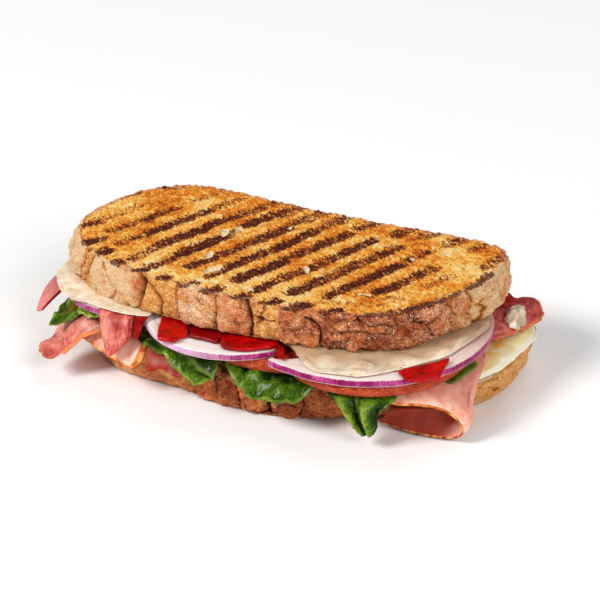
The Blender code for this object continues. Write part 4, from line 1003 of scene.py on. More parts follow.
def plain_mesh(item, tree, **inputs):
    """The mesh that a node tree makes from an object."""
    modifier = item.modifiers.new("nodes", "NODES")
    modifier.node_group = tree
    for socket in tree.interface.items_tree:
        title = socket.name.replace(" ", "_")
        if socket.in_out == "INPUT" and title in inputs:
            modifier[socket.identifier] = inputs[title]
    ready = item.evaluated_get(bpy.context.evaluated_depsgraph_get())
    mesh = bpy.data.meshes.new_from_object(ready)
    item.modifiers.remove(modifier)
    return mesh


def onion_section(width, height):
    """Closed section of a ring: x runs in from the skin, y up; small steps where layers meet."""
    skin_side = [(0.5 * (1 - math.sin(math.pi * t)), height * t) for t in np.linspace(0.04, 0.96, 10)]
    top = [(s * width, height - 0.12 * (1 - abs(math.sin(s * ONION_LAYER_WAVES))) ** 4)
           for s in np.linspace(0.07, 0.95, 34)]
    back = [(width - 0.25 * math.sin(math.pi * t), height * (1 - t)) for t in np.linspace(0.06, 0.94, 7)]
    floor = [(s * width, 0.0) for s in np.linspace(0.93, 0.09, 16)]
    return skin_side + top + back + floor


ONION_TREE = ring_tree(onion_finish)


def onion_ring(title, centre, outer, width, start, end, taper, faded, crust_shadow):
    """One ring of onion on the stack, from its section and arc."""
    section = onion_section(width, ONION_HIGH - ONION_LOW)
    curve = bpy.data.curves.new(title, "CURVE")
    curve.dimensions = "3D"
    line = curve.splines.new("POLY")
    line.points.add(len(section) - 1)
    for point, (s, h) in zip(line.points, section):
        point.co = (s, h, 0.0, 1.0)
    line.use_cyclic_u = True
    item = bpy.data.objects.new(title + "_section", curve)
    bpy.context.scene.collection.objects.link(item)
    mesh = plain_mesh(item, ONION_TREE, Radius=outer, Start_angle=math.radians(start),
                      Sweep_angle=math.radians(end - start), Steps=int(outer * math.radians(end - start) / 0.7))
    bpy.data.objects.remove(item)
    co = np.array([v.co for v in mesh.vertices], float)
    faces = [list(p.vertices) for p in mesh.polygons]
    angle = np.degrees(np.arctan2(co[:, 1], co[:, 0]))
    angle = np.where(angle < start - 5.0, angle + 360.0, angle)
    inward = np.abs(outer - np.hypot(co[:, 0], co[:, 1]))
    share = np.clip((angle - start) / taper, 0.2, 1.0) if taper else 1.0
    turn = np.radians(angle)
    unit = np.c_[np.cos(turn), np.sin(turn)]
    wobble = lumps(unit * outer, 11.0, outer, 2) * 0.35
    radius = outer - inward * share + wobble
    height = ONION_LOW + np.abs(co[:, 2]) + lumps(unit * outer, 9.0, outer + 3.0) * 0.12 * (np.abs(co[:, 2]) > 1.5)
    points = np.c_[unit * radius[:, None] + centre, np.minimum(height, ONION_HIGH)]
    rim = inward / width
    ends = 1.0 - smooth(np.minimum(angle - start, end - angle) * outer * 0.0175, 0.2, 1.0)
    fields = {"depth": np.where(np.abs(co[:, 2]) < 0.05, np.maximum(rim, 0.1), rim),
              "foot": 1.0 - smooth(np.abs(co[:, 2]), 0.1, 0.7),
              "faded": np.clip(np.interp(angle, *faded) + ends * 0.3, 0, 1), "crust_shadow": np.interp(angle, *crust_shadow)}
    food_piece(title + "_ring", [title], points, faces, onion_finish, fields)


onion_ring("onion_left", (-66, -15), outer=26, width=8, start=197, end=288, taper=0.0,
           faded=((197, 230, 288), (0.5, 0.25, 0.1)), crust_shadow=((197, 288), (0, 0)))
onion_ring("onion_centre", (-18, -21), outer=35.5, width=10, start=140, end=321, taper=0.0,
           faded=((140, 205, 250, 272, 300, 321), (0.95, 0.9, 0.7, 0.5, 0.2, 0.0)), crust_shadow=((140, 321), (0, 0)))
# The right ring's flesh is painted darker towards its right and back, as painted shadow under the crust.
onion_ring("onion_right", (30, -6.6), outer=49.4, width=10.5, start=245, end=442, taper=13.0,
           faded=((245, 270, 330, 380, 442), (0.1, 0.0, 0.0, 0.0, 0.1)),
           crust_shadow=((245, 290, 330, 362, 442), (0.2, 0.15, 0.3, 0.75, 0.9)))


# Roasted pepper. Strips of peeled red pepper in oil, soft and very glossy, laid between the onion
# and the top slice; two limp ends hang out.

pepper_finish, tree, shader = new_finish("roasted_pepper", Specular_IOR_Level=0.1, Subsurface_Weight=0.05,
                                         Subsurface_Scale=0.002, Subsurface_Radius=(1.0, 0.15, 0.08),
                                         Coat_Weight=0.2, Coat_Roughness=0.1, Roughness=0.26)
body = maths(tree, "MULTIPLY_ADD", grain(tree, 4.5, 3.0), 0.7, maths(tree, "MULTIPLY", grain(tree, 0.9, 2.0), 0.3))
red = tones(tree, body, (0.36, paint(118, 0, 2)), (0.5, paint(172, 0, 4)), (0.66, paint(206, 8, 10)))
# Painted shade: the shade field darkens the red where a strip lies in shade under the bread.
red = blend(tree, field(tree, "shade"), red, paint(112, 4, 8))
bleached = blend(tree, grain(tree, 2.4, 3.0), paint(206, 104, 98), paint(236, 172, 162))
red = blend(tree, field(tree, "pink"), red, bleached)
cut = ease(tree, maths(tree, "MULTIPLY_ADD", grain(tree, 1.2, 2.0), 0.4, field(tree, "edge")), 0.65, 0.95)
tree.links.new(blend(tree, cut, red, paint(206, 52, 36)), shader.inputs["Base Color"])
relief(tree, shader, maths(tree, "MULTIPLY_ADD", grain(tree, 0.8, 2.0), 0.3, grain(tree, 2.6, 2.0)), 0.16)


def lying(level, front, end, fall, ripple, seed):
    """Height of a strip that lies level and tips down past the front line."""
    def height(points):
        wavy = ripples(points, 5.0, seed) * ripple
        return level - fall * smooth(-points[:, 1], -front, -end) + wavy + lumps(points, 2.2, seed) * 0.07
    return height


# Each strip: name, outline, height, thickness, and how much painted shade darkens its red.
PEPPERS = [
    ("pepper_front", [(-41, -36), (-39.6, -41), (-37.8, -47), (-35.4, -53.2), (-34, -55.5), (-31.5, -55.6),
                      (-27.4, -55.2),
                      (-27, -53), (-26.4, -50.8), (-25, -49.4), (-26.4, -46), (-30, -40), (-33, -33)],
     lying(30.5, -50, -57, 0.1, 0.35, 31.0), 1.7, 0.0),
    ("pepper_shade", [(-28.2, -41), (-25.2, -46.4), (-24, -48.7), (-22, -49), (-17, -49.2), (-13, -49.3),
                      (-12.7, -46.5),
                      (-12.9, -44), (-19, -36), (-26, -35)], lying(30.3, -50, -60, 0.1, 0.3, 34.0), 1.3, 0.75),
    ("pepper_centre", [(-12, -47.2), (-10.6, -50.4), (-8.6, -52), (-5, -52), (-1, -51), (3, -48.6), (6.2, -46.6),
                       (8.4, -44),
                       (9, -41.5), (2, -39.5), (-6, -40), (-11.5, -42)],
     lying(30.4, -50, -60, 0.1, 0.4, 37.0), 1.5, 0.1),
    ("pepper_small", [(9.4, -43), (9.8, -45.4), (11.6, -48.6), (14.6, -51), (15.4, -51), (13.6, -46.6), (11.4, -42.8)],
     lying(30.0, -50, -60, 0.1, 0.2, 40.0), 0.8, 0.5),
    ("pepper_right", [(57.6, -42.6), (58.4, -44.6), (60.8, -47.0), (63, -48.4), (65, -47.8), (69, -45.6), (72, -43.4),
                      (72.6, -42.6), (72, -38), (71.6, -32), (70.8, -28), (66, -34)],
     lying(30.3, -50, -60, 0.1, 0.15, 43.0), 1.4, 0.0),
    ("pepper_behind", [(71.5, 28), (74, 30), (76.2, 29.6), (78.4, 27), (79, 24.2), (76.5, 21.6), (72.6, 22.4)],
     lying(30.4, -50, -60, 0.0, 0.1, 46.0), 1.4, 0.5),
]
for title, outline, height, thickness, shade in PEPPERS:
    vertices, faces = layer(outline, sheet_faces(height, thickness, 0.86, 0.35), 0.4, 2.0, 12.0, rows=2, bulge=0.1,
                            fray=0.18, seed=2.0)
    rim = from_outline(outline, vertices, 0.8)
    food_piece(title + "_strip", [title], vertices, faces, pepper_finish,
               {"edge": (1.0 - smooth(rim, 0.1, 0.6)) * 0.45, "pink": 0.0, "shade": shade})

PEPPER_POINT = [
    [(-49.4, -39, 30.4), (-47.2, -38.5, 30.4), (-45.2, -39, 30.4)],
    [(-49.2, -43.6, 30.2), (-47, -44.6, 30.2), (-45, -45, 30.2)],
    [(-48.4, -47.2, 27.8), (-46.6, -48.2, 27.6), (-45, -48.4, 28)],
    [(-46.8, -49.8, 24.6), (-46.2, -50, 24.4), (-45.6, -50, 24.8)],
]
PEPPER_END = [
    [(-89, -5, 24.8), (-85, -10, 24.8), (-81, -15, 24.8)],
    [(-98.5, -12, 25.6), (-94.5, -18, 25), (-90.5, -23.5, 24.8)],
    [(-99.5, -25, 24), (-96, -28, 24.2), (-92.5, -31, 23.8)],
    [(-96.4, -38.5, 20.8), (-95.4, -38.2, 20.9), (-94.4, -37.6, 21)],
]
# The last column is how much painted shade darkens the strip.
for title, net, thickness, across, along, pink, shade in (("pepper_point", PEPPER_POINT, 1.0, 16, 34, 0.0, 0.55),
                                                          ("pepper_end", PEPPER_END, 1.2, 34, 70, 0.85, 0.0)):
    vertices, faces, u, v = net_sheet(net, across, along, thickness, seed=33.0, creases=0.08)
    rim = np.minimum(np.minimum(u, 1 - u) * 12.0, np.minimum(v, 1 - v) * 30.0)
    food_piece(title + "_strip", [title], vertices, faces, pepper_finish,
               {"edge": (1.0 - smooth(rim, 0.1, 0.6)) * 0.45, "pink": pink * (1.0 - smooth(u, 0.86, 0.97)),
                "shade": shade})


# More cured meat. A pointed shaving hangs over the onion at the left, and a curled one stands out at
# the right end with a dab of sauce lying in it.

CURED_POINT = [
    [(-66, -34, 30.1), (-61, -33, 30.1), (-55.5, -33, 30.1), (-51, -35, 30.1)],
    [(-65.5, -42.5, 30), (-61, -43.6, 30), (-55.5, -43.9, 30), (-50.2, -43.7, 29.8)],
    [(-63.4, -46, 25), (-60, -48.4, 24.5), (-54.5, -48.6, 24.2), (-49.4, -47.6, 25)],
    [(-60.2, -49.6, 20), (-57.6, -51.6, 19.4), (-54.8, -51.4, 19.6), (-51.8, -49.8, 20.6)],
    [(-58.2, -52.6, 16.8), (-57.2, -53.2, 16.4), (-56.2, -52.8, 16.8), (-55, -51.8, 17.8)],
]
vertices, faces, u, v = net_sheet(CURED_POINT, 48, 76, 0.9, ripple=0.5, seed=53.0, creases=0.12)
rim = np.minimum(np.minimum(u, 1 - u) * 12.0, (1 - v) * 30.0)
food_piece("cured_point_slice", ["cured_point"], vertices, faces, cured_finish,
           {"edge": (1.0 - smooth(rim, 0.2, 0.9)) * 0.3, "deep": 0.62 + 0.4 * smooth(np.abs(u - 0.45), 0.3, 0.5)})


CURL_EDGE = np.array([(77.5, 9.2), (81.2, 15.3), (85.2, 22.7), (89.2, 30.0), (88.4, 34.0)], float)


def curl_height(points):
    """Height of the curled shaving, which lifts to the back and turns down along its outer edge."""
    y = points[:, 1]
    turned_down = 3.4 * (1.0 - smooth(distance_to(CURL_EDGE, points, closed=False), 0.0, 3.2)) * smooth(y, 12, 24)
    lift = smooth(y, 8, 37) * 5.6 - turned_down
    wavy = ripples(points, 6.0, 56.0) * 0.8
    return 20.9 + lift + wavy + lumps(points, 2.6, 56.0, 2) * 0.16


CURED_RIGHT = [(70, 20), (72.5, 12), (77.5, 9.2), (81.2, 15.3), (85.2, 22.7), (89.2, 30.0), (88.4, 34.0), (84.5, 37.2),
               (79, 36), (74.5, 33), (71, 27)]
vertices, faces = layer(CURED_RIGHT, sheet_faces(curl_height, 1.1), 0.4, 2.5, 20.0, bulge=0.2, fray=0.8, seed=17.0)
rim = from_outline(CURED_RIGHT, vertices)
food_piece("cured_curl", ["cured_right"], vertices, faces, cured_finish,
           {"edge": (1.0 - smooth(rim, 0.2, 1.6)) * 0.6, "deep": 0.6 + 0.4 * smooth(vertices[:, 1], 10, 36)})


# Cream sauce. A thick garlic and herb cream spread under the top slice; it pushes out in soft lips
# at the left end and the front right, and a dab lies in the curl. Herb and pepper specks are in it.

cream, tree, shader = new_finish("cream_sauce", Specular_IOR_Level=0.5, Subsurface_Weight=0.35,
                                 Subsurface_Scale=0.003, Subsurface_Radius=(1.0, 0.75, 0.45),
                                 Coat_Weight=0.6, Coat_Roughness=0.1, Roughness=0.24)
cloud = maths(tree, "MULTIPLY_ADD", grain(tree, 4.2, 3.0), 0.8, maths(tree, "MULTIPLY", grain(tree, 1.0, 2.0), 0.2))
cloud = tones(tree, cloud, (0.34, paint(255, 240, 218)), (0.52, paint(244, 222, 192)), (0.7, paint(220, 188, 150)))
# Painted shade: a darker, greyer cream is painted where the spread lies in the shade of the overhanging top slice; the
# dab takes it in uneven patches.
shaded_cream = blend(tree, grain(tree, 5.0, 2.0), paint(138, 102, 68), paint(204, 172, 134))
cloud = blend(tree, maths(tree, "MULTIPLY", field(tree, "shade_and_tone"), 0.9), cloud, shaded_cream)
tree.links.new(cloud, shader.inputs["Base Color"])
relief(tree, shader, maths(tree, "MULTIPLY_ADD", grain(tree, 1.6, 2.0), 0.15, grain(tree, 5.0, 2.0, warp=0.5)), 0.4)

TOP_UNDER = [(-95, -9), (-91, -20), (-82, -28), (-70, -34.5), (-58, -39), (-42, -42), (-28, -43.5), (-10, -45),
             (8, -43.5), (28, -40), (42, -36), (52, -31), (60, -23), (66, -13), (71, -3), (75, 7), (77, 18),
             (76, 27), (71, 32.5), (62, 35), (45, 36), (20, 36.5), (-8, 37.5), (-30, 39), (-50, 40), (-65, 39.5),
             (-77, 35), (-86, 26), (-92, 14), (-95, 2)]
UNDER_LOOP = spline_loop(TOP_UNDER, 3.0)


def sauce_surfaces(points, away):
    """Underside and top of the spread: flat under the bread, in soft folds where it is pushed out."""
    x, y = points.T
    past = beyond(UNDER_LOOP, points)
    over_meat = smooth(x, -78, -72) * smooth(-x, 40, 44) * smooth(-y, 20, 26)
    low = 29.6 + over_meat * 1.5
    outside = smooth(past, 1.0, 4.0)
    left = smooth(-x, 62, 74) * outside * smooth(np.hypot(x + 66, y + 15), 28.5, 31.0)
    wavy = ripples(points, 8.0, 60.0) * 0.3
    low = low - left * 1.6 + wavy * outside * (1 - over_meat)
    fall = np.clip(past / 11.0, 0.0, 1.0) ** 1.6
    folds = lumps(points, 8.0, 61.0) * 1.2 + (0.35 - np.abs(lumps(points * (0.6, 1.0), 6.0, 63.0))) * 0.8
    far_left = smooth(-x, 52, 62)
    pushed_out = smooth(away, 0.2, 2.4)
    high = 31.6 - outside * fall * 1.3 - far_left * outside * 0.9 + folds * pushed_out * smooth(past, 0.5, 4.0)
    high = np.maximum(high, 29.75 - left * 1.2)
    high = np.where(past < 2.4, np.minimum(high, 31.6), high)
    high = np.where(x > 62, np.minimum(high, 31.7), high)
    ring = rounded(away, 0.7, 1.6)
    return np.c_[points, low + ring * 0.4], np.c_[points, np.maximum(high - ring * outside, low + 0.45 + ring * 0.4)]


SAUCE = [(-97, -17), (-93, -26), (-88, -33), (-82, -37.5), (-76, -40.5), (-66, -43.2), (-57, -44.4), (-51.5, -44.2),
         (-46.5, -43.4), (-44.6, -41.5), (-46, -34), (-42, -27), (-30, -25), (-18, -25), (-4, -28), (7, -34),
         (11, -39), (17.5, -44.5), (24, -51), (30, -54), (38, -53), (45, -51.5), (51, -46.5), (56, -41.5),
         (62, -34.5), (69, -25), (72.5, -14), (75, -5), (76, 3), (73, 10), (70, 20), (64, 28), (45, 34), (20, 37),
         (-10, 38), (-40, 39.5), (-64, 38), (-78, 30), (-88, 15), (-94, 0)]
vertices, faces = layer(SAUCE, sauce_surfaces, 0.6, 3.0, 16.0, rows=5, bulge=0.6, fray=0.3, seed=19.0)
# How far the spread lies in the shade of the overhang, for its painted shade.
shade_and_tone = (1.0 - smooth(beyond(UNDER_LOOP, vertices[:, :2]), 1.5, 13.0)) * smooth(vertices[:, 0], -20, 10)
spread = food_piece("sauce_spread", ["sauce"], vertices, faces, cream, {"shade_and_tone": shade_and_tone})


DAB_CENTRE = (80.4, 24.0)


def dab_surfaces(points, away):
    """Underside and domed top of the dab, which lies in the curled shaving."""
    r = np.hypot((points[:, 0] - DAB_CENTRE[0]) / 4.0, (points[:, 1] - DAB_CENTRE[1]) / 5.8)
    low = curl_height(points) + 0.75
    dome = 1.1 * np.sqrt(np.clip(1.0 - r ** 2, 0.0, 1.0))
    high = low + 0.35 + dome + lumps(points, 2.6, 67.0) * 0.8 * smooth(away, 0, 1.5)
    return np.c_[points, low], np.c_[points, np.maximum(high, low + 0.3)]


vertices, faces = layer(round_slice(DAB_CENTRE, 3.9, 5.7), dab_surfaces, 0.4, rows=3, bulge=0.2, fray=1.1, seed=23.0)
# The dab is painted with the darker cream in uneven patches.
food_piece("sauce_dab_blob", ["sauce_dab"], vertices, faces, cream,
           {"shade_and_tone": 0.45 + lumps(vertices, 3.0, 69.0, 2) * 0.5})


def speck_tree(finish):
    """Nodes that scatter small grains over a surface and press them into it."""
    made, nodes, links, enter = start_tree("specks", ("Density", "Grain size"), "Seed")
    zone = nodes.new("GeometryNodeInputNamedAttribute")
    zone.data_type = "FLOAT"
    zone.inputs["Name"].default_value = "shown"
    picked = nodes.new("FunctionNodeCompare")
    picked.inputs[1].default_value = 0.5
    links.new(zone.outputs["Attribute"], picked.inputs[0])
    scatter = nodes.new("GeometryNodeDistributePointsOnFaces")
    links.new(enter.outputs["Geometry"], scatter.inputs["Mesh"])
    links.new(picked.outputs["Result"], scatter.inputs["Selection"])
    links.new(enter.outputs["Density"], scatter.inputs["Density"])
    links.new(enter.outputs["Seed"], scatter.inputs["Seed"])
    bead = nodes.new("GeometryNodeMeshIcoSphere")
    bead.inputs["Subdivisions"].default_value = 2
    links.new(enter.outputs["Grain size"], bead.inputs["Radius"])
    vary = nodes.new("FunctionNodeRandomValue")
    vary.data_type = "FLOAT_VECTOR"
    vary.inputs[0].default_value = (0.45, 0.45, 0.2)
    vary.inputs[1].default_value = (1.4, 1.0, 0.45)
    copies = nodes.new("GeometryNodeInstanceOnPoints")
    links.new(scatter.outputs["Points"], copies.inputs["Points"])
    links.new(bead.outputs["Mesh"], copies.inputs["Instance"])
    links.new(scatter.outputs["Rotation"], copies.inputs["Rotation"])
    links.new(vary.outputs["Value"], copies.inputs["Scale"])
    return end_tree(made, copies.outputs["Instances"], finish)


def scatter_on(host, title, finish, chosen, density, size, seed):
    """Grains on the chosen part of a piece, as one plain mesh."""
    co = np.empty(len(host.data.vertices) * 3)
    host.data.vertices.foreach_get("co", co)
    bare = host.data.copy()
    place = co.reshape(-1, 3) * 1000.0 + MIDDLE_OF_PLAN
    attribute = bare.attributes.new("shown", "FLOAT", "POINT")
    attribute.data.foreach_set("value", chosen(place).astype(np.float32))
    item = bpy.data.objects.new(title + "_host", bare)
    bpy.context.scene.collection.objects.link(item)
    mesh = plain_mesh(item, speck_tree(finish), Density=density, Grain_size=size, Seed=seed)
    bpy.data.objects.remove(item)
    mesh.shade_smooth()
    corner = np.empty(len(mesh.vertices) * 3)
    mesh.vertices.foreach_get("co", corner)
    mesh.vertices.foreach_set("co", np.clip(corner.reshape(-1, 3), CAD_LOW, CAD_HIGH).ravel())
    grains = bpy.data.objects.new(title, mesh)
    bpy.context.scene.collection.objects.link(grains)
    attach(grains, "root")
    return grains


herb, tree, shader = new_finish("herb_specks", Roughness=0.6)
dried_herb = tones(tree, grain(tree, 9.0, 2.0), (0.42, paint(52, 50, 34)), (0.5, paint(86, 84, 40)),
                   (0.58, paint(150, 96, 60)))
tree.links.new(dried_herb, shader.inputs["Base Color"])


def on_lips(place):
    """Upper side of the sauce where it stands out of the bread."""
    return (beyond(UNDER_LOOP, place[:, :2]) > 0.5) * (place[:, 2] > 29.8) * (place[:, 0] > 5.0)


scatter_on(spread, "herb_specks", herb, on_lips, density=34000.0, size=0.0003, seed=4)


# Top slice. The facing slice of the loaf with its grilled side up: bars pressed dark stripes into the
# golden crumb, holes in the crumb stayed pale, and the crust round it is floury, plated and split.

TOP_RIM = [(-92, -5), (-89, -16), (-83, -25), (-72, -33), (-60, -38), (-45, -41.5), (-28, -43.5), (-8, -45),
           (12, -45), (30, -43), (43, -39.5), (53, -33), (60, -24), (66, -14), (71, -3), (74.5, 9), (76, 20),
           (75, 28), (71, 33), (64, 35.5), (45, 36.5), (20, 37), (-8, 38), (-30, 39.5), (-50, 41), (-63, 40.5),
           (-73, 36.5), (-81, 28.5), (-87, 18), (-91, 6)]
TOP_MARKS = [
    (-88, -12, -84, -6, 2.0, 0.75), (-84, -6, -79, 4, 1.4, 0.45), (-78, 8, -74, 17, 1.3, 0.4),
    (-75.5, -12.5, -70.5, -3, 2.0, 0.72), (-68.5, 1, -61.5, 17, 1.9, 0.82), (-58, 24, -51, 38, 1.4, 0.42),
    (-68, -21, -61, -10, 1.8, 0.72), (-61, -7.5, -53.5, 8, 2.1, 0.95), (-52.5, 10, -48, 20, 1.9, 0.85),
    (-46, 24, -41, 35, 1.8, 0.55),
    (-56.5, -31, -52, -17, 1.7, 0.7), (-52.5, -17, -44, 1, 2.4, 1.0), (-44, 1, -40.5, 11, 2.2, 0.9),
    (-39.5, 12, -34, 22, 2.2, 0.85),
    (-32, 24, -26, 37, 2.2, 0.6),
    (-46, -34, -41, -21, 1.8, 0.78), (-41.5, -20, -32.5, 0, 2.3, 1.0), (-31.5, 2, -29.5, 7, 1.4, 0.6),
    (-29, 12, -22, 26, 2.3, 0.95),
    (-20, 27, -15, 37, 3.0, 0.62),
    (-33.5, -28, -28.5, -20, 2.1, 0.95), (-28.5, -18, -20, 0, 2.1, 0.9), (-20, 1, -12.5, 17, 2.3, 0.92),
    (-13, 20, -10.5, 25, 1.8, 0.85),
    (-9, 26, -5, 36, 2.8, 0.6),
    (-23, -33, -19, -24, 1.6, 0.75), (-19.5, -22, -8.5, 0, 2.4, 0.86), (-8.5, 0, -2, 18, 2.3, 0.92),
    (-1, 20, 1.5, 26, 1.8, 0.7),
    (2, 28, 6, 36, 3.0, 0.6),
    (-12.5, -31.5, -2.5, -11, 2.3, 1.0), (-2.5, -9, 11.5, 21, 2.2, 0.96), (14, 28, 18, 36, 2.8, 0.58),
    (-2, -36, 3.5, -23, 2.0, 1.0), (3.5, -21, 8, -15.5, 2.2, 0.85), (9.5, -12, 22.5, 20, 2.1, 0.9),
    (29, 27, 33, 36, 2.6, 0.75),
    (11, -33, 17.5, -19, 2.3, 1.0), (17.5, -19, 26, 0, 2.2, 0.92), (26, 0, 34, 18, 2.1, 0.9),
    (39, 30, 43, 36, 2.6, 0.6),
    (23.5, -31, 29.5, -19, 2.0, 0.9), (29.5, -18, 39.5, 4, 2.3, 1.0), (40.5, 7, 46, 19, 1.7, 0.7),
    (51, 28, 55, 35, 2.6, 0.58),
    (40, -20, 44, -13, 2.2, 0.98), (44.5, -12, 52.5, 7, 2.0, 0.84), (62, 27, 65, 35, 2.4, 0.55),
    (34, -25, 50, -22.5, 1.0, 0.5), (55, -9, 60.5, 2, 1.2, 0.5), (24, -36, 45, -30, 0.9, 0.35),
    (41, -39.5, 54, -31.5, 1.4, 0.85), (54, -31.5, 60.5, -22, 1.9, 0.98), (60.5, -22, 66.5, -14, 1.6, 0.95),
    (66.5, -14, 71, -3, 1.4, 0.85), (70.5, -5, 74.5, 10, 1.7, 1.0), (70, 15, 74, 28, 2.2, 0.6),
    (-80, -25.5, -76, -20.5, 2.1, 0.92), (-72, -33, -68.5, -29, 2.1, 0.96), (-63, -39.5, -59.5, -35, 2.1, 0.96),
    (-52.5, -41.5, -48.5, -37, 2.1, 0.98), (-41, -43.5, -37.5, -40, 2.0, 0.98), (-29.5, -43.5, -26, -39.5, 1.8, 0.92),
    (-19.5, -45, -15.5, -41.5, 2.0, 0.96), (-7, -45, -4, -42, 2.0, 0.98), (4.5, -45, 8.5, -41.5, 2.0, 0.98),
    (14.5, -45, 19.5, -40, 2.2, 1.0), (28, -43, 31.5, -39.5, 1.9, 0.92),
    (-86, 18, -82, 24, 1.2, 0.55), (-76, 32, -68, 36, 1.6, 0.55),
]
TOP_HOLES = [
    (-34, 4.5, 1.7, 3.6, 20), (-30, 9, 1.8, 3.0, 30), (-31, -16, 1.3, 3.4, 10), (-25, -27, 2.2, 4.6, -25),
    (-23, -36.5, 6.5, 1.3, 0), (-14, -37, 2.4, 0.9, 0), (-6, -36, 2.6, 1.5, 0), (8, -12.5, 1.5, 3.2, 35),
    (42, 11, 1.2, 1.4, 0), (36, -23.5, 3.0, 1.0, 10), (53, 20, 2.6, 2.2, 40), (-12, 18, 1.2, 1.6, 0),
]
TOP_SPLITS = [
    (1.5, 1.2, [(30, 48), (28, 46), (26, 39), (22, 32)]), (1.1, 0.9, [(34, 47), (32, 44), (30, 38), (24, 32)]),
    (1.3, 1.0, [(14, 47), (16, 42), (13, 36)]), (0.9, 0.8, [(40, 48), (43, 44), (45, 41), (47, 36), (45, 33)]),
    (1.7, 2.4, [(58, 49), (60, 45), (61, 41), (59, 36), (57, 32)]),
    (1.2, 1.1, [(62, 46), (65, 43), (68, 41), (70, 38), (68, 32)]),
    (1.1, 1.5, [(76, 48), (77, 44), (78, 39), (78, 35), (78, 32)]),
    (0.8, 1.2, [(94, 46), (95, 42), (94, 38), (94, 32)]), (0.45, 0.5, [(86, 46), (88, 43), (91, 42)]),
    (1.2, 1.3, [(107, 48), (108, 44), (109, 38), (108, 33)]),
    (1.0, 1.7, [(131, 45), (133, 44), (136, 42), (137, 39), (137, 33)]), (0.45, 0.5, [(125, 38), (128, 40), (131, 43)]),
    (0.5, 0.6, [(141, 44), (146, 46), (151, 46), (155, 43), (160, 44), (164, 42)]),
    (0.5, 0.6, [(150, 48), (151, 46), (155, 40), (158, 36)]), (0.45, 0.5, [(144, 40), (150, 41), (155, 40)]),
    (0.9, 1.2, [(172, 48), (172, 43), (178, 40), (183, 42)]), (0.5, 0.6, [(178, 40), (180, 36), (184, 33)]),
    (0.6, 0.8, [(187, 46), (191, 42), (194, 38)]), (0.5, 0.6, [(190, 48), (190, 46)]),
    (0.9, 1.1, [(198, 48), (201, 43), (200, 36)]), (0.4, 0.4, [(164, 46), (166, 42), (164, 37)]),
]
TOP_SWELL = ((0, 20, 34, 40, 56, 59, 63, 72, 77, 79, 86, 93, 96, 106, 110, 119, 122, 128, 150, 200, 431),
             (0, 0, -0.5, 0.3, 0.4, -0.4, -0.5, -0.7, -0.9, 0.9, 1.1, 0.8, 0.3, 0.2, -0.8, -1.0, 0.9, 0.6, 0.3, 0, 0))
TOP_HEM = ((0, 8, 40, 58, 66, 120, 130, 165, 200, 215, 431),
           (3.0, 4.0, 4.0, 3.0, 1.0, 0.8, 1.8, 2.2, 1.4, 0.8, 0.8))


def top_tint(run, place):
    """How pale, floury and torn the top crust is; the flour share also places the crust's painted glints."""
    pale = np.interp(run, (0, 35, 56, 60, 64, 75, 79, 93, 97, 107, 122, 138, 145, 168, 176, 192, 199, 210, 225, 245,
                           431),
                     (1.1, 1.05, 0.85, 0.3, 0.6, 0.55, 0.66, 0.62, 0.42, 0.38, 0.36, 0.22, 0.12, 0.12, 0.3, 0.42, 0.75,
                      0.85, 0.75, 0.35, 0.6))
    torn = np.interp(run, (26, 30, 35, 59, 63, 70, 76, 78, 108, 111, 119, 121),
                     (0, 0.85, 0, 0, 0.8, 0.7, 0.85, 0, 0, 0.95, 0.95, 0))
    flour_and_glint = np.interp(run, (0, 30, 57, 60, 78, 81, 92, 96, 120, 140, 155, 168, 178, 190, 198, 225, 431),
                      (0.45, 0.4, 0.35, 0.1, 0.2, 0.95, 0.95, 0.45, 0.25, 0.5, 0.7, 0.5, 0.95, 0.75, 0.35, 0.3, 0.4))
    return pale + lumps(place, 8.0, 53.0) * 0.2, flour_and_glint * (0.6 + lumps(place, 5.0, 57.0)), torn


def top_face(plan):
    """How pale the top crumb is: creamy along the front, browner at the back and the far left."""
    x, y = plan.T
    front = smooth(-y, 20, 36) * smooth(x, -84, -60) * smooth(-x, -40, -10)
    back = smooth(y, 8, 30)
    left = smooth(-x, 62, 82) * smooth(y, -6, 10)
    return 0.5 + 0.22 * front - 0.04 * back + 0.04 * left + 0.06 * smooth(x, 25, 45) + lumps(plan, 14.0, 59.0, 2) * 0.24


top_crust = bread_finish("top_slice", brown=paint(146, 54, 20), tan=paint(236, 140, 84), pale=paint(255, 216, 164))
vertices, faces, fields = bread_slice(TOP_RIM, TOP_UNDER, z_grilled=49.0, z_inner=32.0, seed=3.0, face_step=0.43,
                                      marks=TOP_MARKS, holes=TOP_HOLES, splits=TOP_SPLITS, swell=TOP_SWELL,
                                      tint=top_tint, face_tint=top_face, hem=TOP_HEM)
food_piece("top_slice", ["bread_top"], vertices, faces, top_crust, fields)


# Stage, in metres. A plain pale table a hair under the sandwich, soft boxes to the left, right and
# above, and the camera, which looks down on the open front.

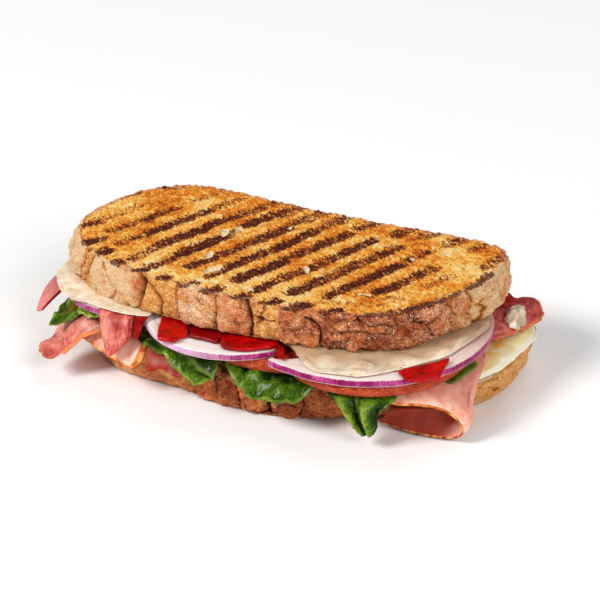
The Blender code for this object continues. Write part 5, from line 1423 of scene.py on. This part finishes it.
TABLE_REACH, TABLE_DROP = 4.0, -0.0002
table_corners = [(-TABLE_REACH, -TABLE_REACH, TABLE_DROP), (TABLE_REACH, -TABLE_REACH, TABLE_DROP),
                 (TABLE_REACH, TABLE_REACH, TABLE_DROP), (-TABLE_REACH, TABLE_REACH, TABLE_DROP)]
mesh = bpy.data.meshes.new("table")
mesh.from_pydata(table_corners, [], [(0, 1, 2, 3)])
item = bpy.data.objects.new("table", mesh)
bpy.context.scene.collection.objects.link(item)
surface, tree, shader = new_finish("pale_table", Roughness=0.9, Specular_IOR_Level=0.2)
shader.inputs["Base Color"].default_value = (0.96, 0.96, 0.96, 1.0)
mesh.materials.append(surface)


def soft_box(title, direction, distance, size, power, tint=(1.0, 1.0, 1.0)):
    """A square soft light aimed at the sandwich."""
    lamp = bpy.data.lights.new(title, "AREA")
    lamp.size = size
    lamp.energy = power
    lamp.color = tint
    item = bpy.data.objects.new(title, lamp)
    bpy.context.scene.collection.objects.link(item)
    toward = Vector(direction).normalized()
    item.location = toward * distance + Vector((0.0, 0.0, 0.025))
    item.rotation_euler = toward.to_track_quat("Z", "Y").to_euler()


soft_box("key", (-0.55, -0.6, 0.72), distance=3.0, size=0.9, power=74.0, tint=(1.0, 0.99, 0.97))
soft_box("fill", (0.9, -0.55, 0.7), distance=3.0, size=1.6, power=52.0)
soft_box("top", (0.1, 0.6, 1.0), distance=3.0, size=1.8, power=20.0)
world = bpy.data.worlds.new("studio")
world.use_nodes = True
world.node_tree.nodes["Background"].inputs["Color"].default_value = (1.0, 1.0, 1.0, 1.0)
world.node_tree.nodes["Background"].inputs["Strength"].default_value = 0.12
bpy.context.scene.world = world
bpy.context.scene.view_settings.view_transform = "Standard"

CAMERA_TURN, CAMERA_RISE, CAMERA_DISTANCE = math.radians(23.0), math.radians(28.0), 0.75
CAMERA_TARGET = (0.005065, 0.00448, 0.0245)
eye = bpy.data.cameras.new("camera")
eye.lens = 114.75
eye.sensor_width = 36.0
eye.shift_y = 5.0 / 600.0
eye.clip_start = 0.01
camera = bpy.data.objects.new("camera", eye)
bpy.context.scene.collection.objects.link(camera)
back = Vector((math.sin(CAMERA_TURN) * math.cos(CAMERA_RISE), -math.cos(CAMERA_TURN) * math.cos(CAMERA_RISE),
               math.sin(CAMERA_RISE)))
camera.location = Vector(CAMERA_TARGET) + back * CAMERA_DISTANCE
camera.rotation_euler = back.to_track_quat("Z", "Y").to_euler()
bpy.context.scene.camera = camera
